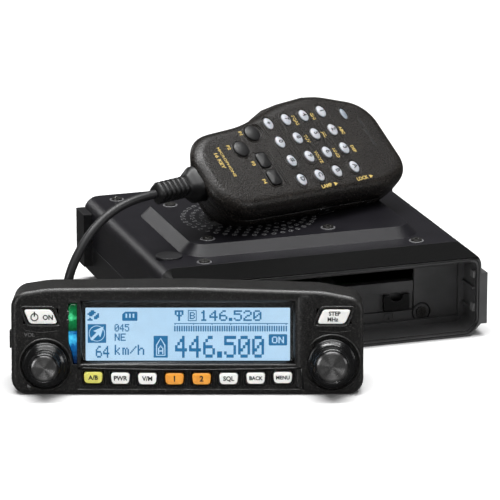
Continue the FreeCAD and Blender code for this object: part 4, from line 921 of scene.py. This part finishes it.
def make_head_trim():
    """Light guides, printed words, creases and the ridge round the face."""
    green = Piece()
    green.slab(softened([(-47.7, 27.3), (-47.7, 38.7), (-50.2, 38.7), (-51.1, 37.2), (-51.1, 27.3)], 0.4),
        -4.0, 0.42, 0.35, crown=0.25)
    green.make("guide_green", HEAD, "head", [guide_green], "guide_clear", replaces=["light_guides"])
    blue = Piece()
    blue.slab(softened([(-47.7, 13.6), (-47.7, 27.0), (-51.1, 27.0), (-51.0, 22.5), (-49.6, 18.0),
        (-48.9, 13.6)], 0.3), -4.0, 0.32, 0.3, crown=0.2)
    blue.make("guide_blue", HEAD, "head", [guide_blue], "guide_clear")
    clips = Piece()
    for y in (30.2, 33.9):
        clips.block((-52.0, y, -0.6), (-50.7, y + 2.1, 0.5), 0.3)
    clips.slab(softened([(-51.4, 13.0), (-49.3, 13.0), (-49.9, 17.8), (-51.2, 21.5), (-51.4, 21.5)], 0.2),
        -3.5, 0.1, 0.15)
    clips.block((-51.3, 39.0, -3.5), (-47.6, 40.3, 0.05), 0.2)
    clips.make("guide_clips", HEAD, "head", [head_plastic], "head_plastic")
    words = Piece()
    words.text("VOL", -67.6, 25.6, 2.3, 0.03)
    words.block((-68.6, 3.2, -0.05), (-67.2, 4.6, 0.06), 0.05)
    words.make("head_print", HEAD, "head", [print_grey], "head_plastic")
    trim = Piece()
    for side, x in ((-1, -62.0), (1, 60.6)):
        crease = [(x - 6.2 * side, 27.35), (x + 1.0 * side, 26.75), (x + 7.2 * side, 27.5)]
        for (ax, ay), (bx, by) in zip(crease, crease[1:]):
            (low, first), (high, last) = sorted(((ax, ay), (bx, by)))
            strip = [(low, first - 0.45), (high, last - 0.45), (high, last + 0.1), (low, first + 0.1)]
            trim.loft([level(strip, height) for height in (-0.05, 0.22)], smooth=False)
    ridge = ((43.2, -0.45), (42.4, 0.0), (41.0, 0.35), (36.0, 0.6), (24.0, 0.65), (14.0, 0.55), (9.0, 0.3),
        (5.0, -0.1), (3.0, -0.6))
    trim.loft([[(48.5 + 3.7 * cos(pi * step / 12), y, (rise + 0.5) * sin(pi * step / 12) - 0.5)
        for step in range(13)] for y, rise in ridge])
    trim.make("head_creases", HEAD, "head", [head_plastic], "head_plastic")
    rim = Piece()
    opening = rounded(-46.4, 12.9, 44.6, 40.2, 0.3, 3)
    rim.loft([level(shrunk(opening, -0.55), -0.02), level(shrunk(opening, -0.3), 0.14),
        level(opening, -0.15), level(shrunk(opening, 1.1), -2.1)], close=False)
    rim.make("screen_rim", HEAD, "head", [head_plastic], "head_plastic")


# ---------------------------------------------------------------- hand microphone
SIGNS = "123A456B789C*0#D"
LETTERS = {"2": "ABC", "3": "DEF", "4": "GHI", "5": "JKL", "6": "MNO", "7": "PQRS", "8": "TUV", "9": "WXYZ"}
MIC_LENGTH = 112.0
MIC_TAIL = -63.0
LIP = 5.0
HEEL = 4.0
SOUND_SLOTS = (-7.5, -2.0, 3.5)
KEY_COLUMN = 18.6
ROW_PITCH = 10.7
P1 = (-25.2, 12.8)
P2 = (-36.0, 6.4)
MIC_OUTLINE = filleted(((-63.0, -22.5, 18.0), (32.0, -28.6, 30.0), (49.0, -23.5, 12.0), (48.5, 15.5, 17.0),
    (20.0, 27.4, 36.0), (0.0, 26.2, 60.0), (-26.0, 19.8, 60.0), (-63.0, 19.2, 17.0)))


def mic_ring(depth, inset):
    """The case's outline at a depth under the face: it narrows towards the back."""
    tail = MIC_TAIL + 0.62 * max(0.0, min(depth, 26.0) - 4.0)
    nose = MIC_TAIL + MIC_LENGTH - 0.3 * max(0.0, depth - 10.0)
    near = 1 - 0.025 * max(0.0, depth - 16.0)
    far = 1 - 0.0125 * max(0.0, depth - 10.0)
    return [(tail + (x - MIC_TAIL) / MIC_LENGTH * (nose - tail), y * (near if y < 0 else far), -depth)
        for x, y in shrunk(MIC_OUTLINE, inset)]


def make_mic_case():
    """The two shells: a broad rounded lip round the face, and a groove where they meet."""
    front = Piece()
    sections = [mic_ring(11.0, 0.5), mic_ring(10.75, 0.12)]
    sections += [mic_ring(depth, 0.0) for depth in (10.6, 7.5, 5.0)]
    for step in range(1, 10):
        angle = radians(10 * step)
        sections.append(mic_ring(LIP - LIP * sin(angle), LIP - LIP * cos(angle)))
    sections.append(mic_ring(0.0, LIP + 1.5))
    front.loft(sections)
    front.make("mic_front_case", MIC, "microphone", [mic_plastic], "mic_plastic", replaces=["mic_front"])
    back = Piece()
    sections = [mic_ring(11.1, 0.5), mic_ring(11.35, 0.12)]
    sections += [mic_ring(depth, 0.0) for depth in (11.5, 14.0, 17.0, 20.0, 23.0, 26.0)]
    for step in range(1, 7):
        angle = radians(15 * step)
        sections.append(mic_ring(26.0 + HEEL * sin(angle), HEEL - HEEL * cos(angle)))
    sections.append(mic_ring(30.0, HEEL + 1.5))
    back.loft(sections)
    back.make("mic_back_case", MIC, "microphone", [mic_plastic], "mic_plastic", replaces=["mic_back"])
    # Each sound slot is a flat near-black plate on the face: painted shade standing in for the opening.
    slots = Piece()
    for y in SOUND_SLOTS:
        slots.slab(rounded(36.25, y - 0.15, 37.55, y + 4.15, 0.5), -0.4, 0.03, 0.01)
    slots.make("mic_sound_slots", MIC, "microphone", [inner_black_and_shade], "mic_plastic")


def make_keypad():
    """Sixteen pale oval keys with their signs, and the printed letters beside them."""
    printed = Piece()
    for index, sign in enumerate(SIGNS):
        name = "key_" + {"*": "star", "#": "hash"}.get(sign, sign.lower())
        row, column = divmod(index, 4)
        x = KEY_COLUMN - ROW_PITCH * row - (1.0 if column == 3 else 0.0)
        y = 15.6 - 10.4 * column
        key = Piece()
        key.slab(oval_outline(x, y, 2.45, 3.4), -3.0, 0.12, 0.2, 2)
        key.slab(oval_outline(x, y, 2.2, 3.0), 0.0, 0.75, 0.3, crown=0.5)
        key.text(sign, x + (-0.9 if sign == "*" else 0.0), y, 3.2, 1.2, turn=-90, slot=1, thick=0.05,
            bold=0.02)
        key.make(name + "_cap", MIC, name, [keypad_pale, print_dark, rubber], "keypad_pale", replaces=[name])
        if sign in LETTERS:
            printed.text(LETTERS[sign], x + 5.0, y - 1.2, 2.25, 0.03, turn=-90, bold=0.025)
    for words, x, y, turn in (("P1", -31.1, 14.2, -90), ("P2", -41.8, 8.8, -90), ("P3", -34.2, -1.9, -90),
            ("P4", -34.2, -11.8, -90), ("LAMP", -3.0, -21.4, 0), ("LOCK", 18.4, -22.0, 0)):
        printed.text(words, x, y, 2.5, 0.03, turn=turn, bold=0.025)
    printed.text("MICROPHONE", -47.4, 2.0, 2.0, 0.03, turn=-90, stretch=1.25)
    printed.text("16 KEY", -50.6, 3.6, 2.6, 0.03, turn=-90, stretch=1.1, bold=0.03)
    for x, y in ((1.6, -21.4), (22.9, -22.0)):
        printed.slab([(x, y - 0.95), (x + 2.1, y), (x, y + 0.95)], -0.02, 0.06)
    printed.make("mic_print", MIC, "microphone", [print_gold], "mic_plastic")


def make_keypad_lines():
    """Raised lines round the key rows and the letter keys, and arcs beside the first key."""
    lines = Piece()
    for row in range(4):
        x = KEY_COLUMN - ROW_PITCH * row
        track = [(x + 3.55 * cos(radians(start + 15 * step)), y + 4.4 * sin(radians(start + 15 * step)))
            for y, start in ((15.6, 0), (-5.2, 180)) for step in range(13)]
        lines.band(track, 0.38, -0.05, 0.26)
        lines.band(oval_outline(x - 1.0, -15.6, 3.65, 4.45), 0.38, -0.05, 0.26)
    for row in range(3):
        x = 13.0 - ROW_PITCH * row
        lines.slab(rounded(x, -7.6, x + 0.3, 18.2, 0.12), -0.05, 0.2, 0.06)
    for radius, start, stop in ((5.9, -50, 55), (6.9, -45, 45)):
        outer = [on_circle(*P1, radius, angle) for angle in range(start, stop + 1, 8)]
        inner = [on_circle(*P1, radius - 0.4, angle) for angle in range(stop, start - 1, -8)]
        lines.slab(outer + inner, -0.05, 0.3, 0.1)
    for shift in (0.0, 1.15):
        lines.slab(rounded(-23.4 + shift, -15.6 - shift, -23.0 + shift, 1.4 + shift, 0.15), -0.05, 0.3, 0.1)
    for centre in (P1, P2):
        lines.band(oval_outline(*centre, 4.75, 4.75), 0.45, -0.05, 0.3)
    lines.band(rounded(-32.2, -16.0, -24.2, 3.2, 2.4), 0.5, -0.05, 0.3)
    lines.make("mic_lines", MIC, "microphone", [mic_plastic], "mic_plastic")


def make_program_keys():
    """Round and squarish dark rubber keys."""
    outlines = {
        "p1_key": oval_outline(*P1, 4.0, 4.0, 40),
        "p2_key": oval_outline(*P2, 4.0, 4.0, 40),
        "p3_key": rounded(-31.3, -5.6, -25.1, 2.4, 1.9, 8),
        "p4_key": rounded(-31.3, -15.2, -25.1, -7.2, 1.9, 8),
    }
    for name, outline in outlines.items():
        key = Piece()
        key.slab(outline, -3.0, 1.0, 0.6, crown=0.4)
        key.make(name + "_cap", MIC, name, [rubber], "rubber_black", replaces=[name])


def make_mic_details():
    """Indicator lens, sound slots' rims, switch frames and the ribbed strain relief."""
    lens = Piece()
    lens.slab(oval_outline(30.4, 12.0, 1.45, 2.9), -0.7, 0.12, 0.2, crown=0.25)
    lens.make("mic_lens", MIC, "microphone", [lens_pale], "keypad_pale")
    rims = Piece()
    rims.band(oval_outline(30.4, 12.0, 2.3, 3.8), 0.5, -0.05, 0.22)
    for y in SOUND_SLOTS:
        rims.band(rounded(35.9, y - 0.5, 37.9, y + 4.5, 0.7, 4), 0.35, -0.05, 0.14)
    rims.make("mic_rims", MIC, "microphone", [mic_plastic], "mic_plastic")
    facing = MIC @ Matrix.Rotation(radians(90), 4, "X")
    frames = Piece()
    for x, wall in ((1.0, 26.6), (26.0, 27.8)):
        frames.band(rounded(x - 4.2, -16.1, x + 7.2, -10.5, 1.6, 5), 0.7, wall - 0.9, wall + 0.35)
        # The plate inside each frame is near black: painted shade standing in for the switch window.
        frames.slab(rounded(x - 3.5, -15.4, x + 6.5, -11.2, 1.0), wall - 0.9, wall + 0.12, 0.05, 1)
    frames.make("switch_frames", facing, "microphone", [smooth_black, inner_black_and_shade], "mic_plastic")
    boot = Piece()
    stations = [(-54.0, 7.4, 6.8), (-63.6, 7.3, 6.7), (-65.2, 6.2, 5.9), (-66.6, 4.9, 4.9),
        (-67.8, 4.3, 4.4)]
    x = -67.8
    for _ in range(6):
        stations += [(x - 0.05, 3.2, 3.3), (x - 0.75, 3.2, 3.3), (x - 0.85, 4.15, 4.2),
            (x - 1.15, 4.3, 4.35), (x - 2.3, 4.3, 4.3), (x - 2.6, 4.1, 4.15)]
        x -= 2.65
    stations += [(x - 0.5, 3.4, 3.4), (x - 1.0, 2.5, 2.5), (x - 1.1, 1.4, 1.4)]
    boot.loft([[(at, y, z - 9.7) for y, z in rounded(-half_y, -half_z, half_y, half_z,
        0.62 * min(half_y, half_z), 5)] for at, half_y, half_z in stations])
    boot.make("mic_boot_ribbed", MIC, "microphone", [rubber], "rubber_black", replaces=["mic_boot"])


# ---------------------------------------------------------------- radio
COVER_EDGE = 38.5
COVER_TOP = 43.0


def make_dock_details():
    """The beaded rim of the bay, its catches, the card sign and moulding, and screw rings."""
    rim = Piece()
    outline = softened([(-70.2, 5.2), (-65.8, 0.8), (65.8, 0.8), (70.2, 5.2), (70.2, 35.6), (-70.2, 35.6)],
        4.2, 8)
    rim.band(outline, 0.55, 68.9, 69.12)
    rim.band(shrunk(outline, 1.5), 0.45, 68.9, 69.08)
    rim.make("dock_rim", FRONT, "radio", [frame_plastic], "frame_plastic")
    catches = Piece()
    for side in (-1, 1):
        left, right = sorted((side * 67.9, side * 67.9 + side * 1.4))
        for low, high in ((10.5, 14.0), (26.0, 29.2)):
            catches.block((left, low, 63.4), (right, high, 67.2), 0.25)
    catches.make("dock_catches", FRONT, "radio", [print_grey], "frame_plastic")
    sign = Piece()
    card = softened([(32.4, 2.9), (36.6, 2.9), (36.6, 8.1), (33.6, 8.1), (32.4, 6.9)], 0.3)
    sign.band(card, 0.22, 50.15, 50.34)
    sign.slab([(34.0, 5.0), (35.4, 5.0), (34.7, 6.4)], 50.15, 50.32)
    notch = [on_circle(38.0, 16.5, 3.0, angle) for angle in range(360, 179, -15)]
    block = [(32.0, 9.3), (44.0, 9.3), (44.0, 16.5)] + notch + [(32.0, 16.5)]
    sign.slab(block, 50.0, 51.6, 0.25)
    for x in (-50.0, 50.0):
        sign.band(oval_outline(x, 7.2, 4.4, 4.4, 40), 0.7, 50.1, 50.5)
    sign.make("dock_signs", FRONT, "radio", [frame_plastic], "frame_plastic")


def make_cover_details():
    """Raised rings round the cover's screws and the grille's holes, in a lighter grey that is a painted
    highlight on their rims, and the round button's face.
    """
    cups = Piece()
    for x, y, z in ((-49.5, -46.5, COVER_EDGE), (49.5, -44.5, COVER_EDGE), (-58.0, 60.0, COVER_EDGE),
            (58.0, 60.0, COVER_EDGE), (-42.0, -27.5, COVER_TOP), (-42.0, 28.5, COVER_TOP),
            (14.0, -27.5, COVER_TOP), (14.0, 28.5, COVER_TOP)):
        cups.band(oval_outline(x, y, 3.3, 3.3, 40), 0.8, z - 0.05, z + 0.22)
    cups.make("screw_cups", RADIO, "radio", [rim_highlight], "cover_paint")
    holes = Piece()
    for ring in range(8):
        for centre in oval_outline(-14.0, 0.5, 4.2 * ring, 4.2 * ring, max(1, 6 * ring)):
            holes.band(oval_outline(*centre, 1.2, 1.2, 16), 0.38, COVER_TOP - 0.03, COVER_TOP + 0.12)
    holes.make("grille_rims", RADIO, "radio", [rim_highlight], "cover_paint")
    button = Piece()
    button.slab(oval_outline(-61.8, -34.3, 5.7, 5.7, 48), 39.1, 39.3, 0.1, crown=0.08)
    button.make("button_face", RADIO, "radio", [button_black], "frame_plastic")


# ---------------------------------------------------------------- stage and light
def make_stage():
    make = Nodes("floor_paper")
    make.into("Base Color", make.mottle(make.noise(3.0, 2.0), (0.86, 0.86, 0.86), (0.88, 0.88, 0.88)))
    make.put("Roughness", 0.75)
    make.put("Specular IOR Level", 0.2)
    sheet = bmesh.new()
    bmesh.ops.create_grid(sheet, x_segments=24, y_segments=24, size=4.0)
    data = bpy.data.meshes.new("floor")
    sheet.to_mesh(data)
    sheet.free()
    data.materials.append(make.material)
    floor = added("floor", data)
    floor.location = (0.0, 1.0, -0.0002)
    floor.visible_glossy = False


def soft_light(name, place, target, size, power):
    data = bpy.data.lights.new(name, "AREA")
    data.shape = "RECTANGLE"
    data.size, data.size_y = size
    data.energy = power
    item = added(name, data)
    item.location = place
    item.rotation_euler = (Vector(target) - Vector(place)).to_track_quat("-Z", "Y").to_euler()
    item.visible_camera = False


def make_lights():
    world = bpy.data.worlds.new("studio")
    bpy.context.scene.world = world
    world.use_nodes = True
    background = world.node_tree.nodes["Background"]
    background.inputs["Color"].default_value = (1.0, 1.0, 1.0, 1.0)
    background.inputs["Strength"].default_value = 0.09
    soft_light("top", (-0.1, -0.1, 1.7), (-0.1, -0.1, 0.0), (2.0, 2.0), 36.0)
    soft_light("strip", (0.0, 0.02, 1.6), (0.0, 0.02, 0.0), (1.9, 0.1), 22.0)
    soft_light("left_card", (-0.62, 1.75, 0.56), (0.0, 0.0, 0.03), (0.6, 0.34), 2.0)
    soft_light("front_top", (-0.3, -1.3, 1.5), (0.0, 0.0, 0.05), (1.3, 0.5), 4.0)
    soft_light("left_front", (-1.4, -1.0, 0.45), (0.0, -0.1, 0.03), (0.4, 0.6), 4.0)
    soft_light("right_front", (1.2, -1.2, 0.5), (0.0, -0.1, 0.03), (0.3, 0.6), 3.0)


make_screen()
make_top_keys()
make_function_keys()
make_knobs()
make_head_trim()
make_mic_case()
make_keypad()
make_keypad_lines()
make_program_keys()
make_mic_details()
make_dock_details()
make_cover_details()
make_stage()
make_lights()
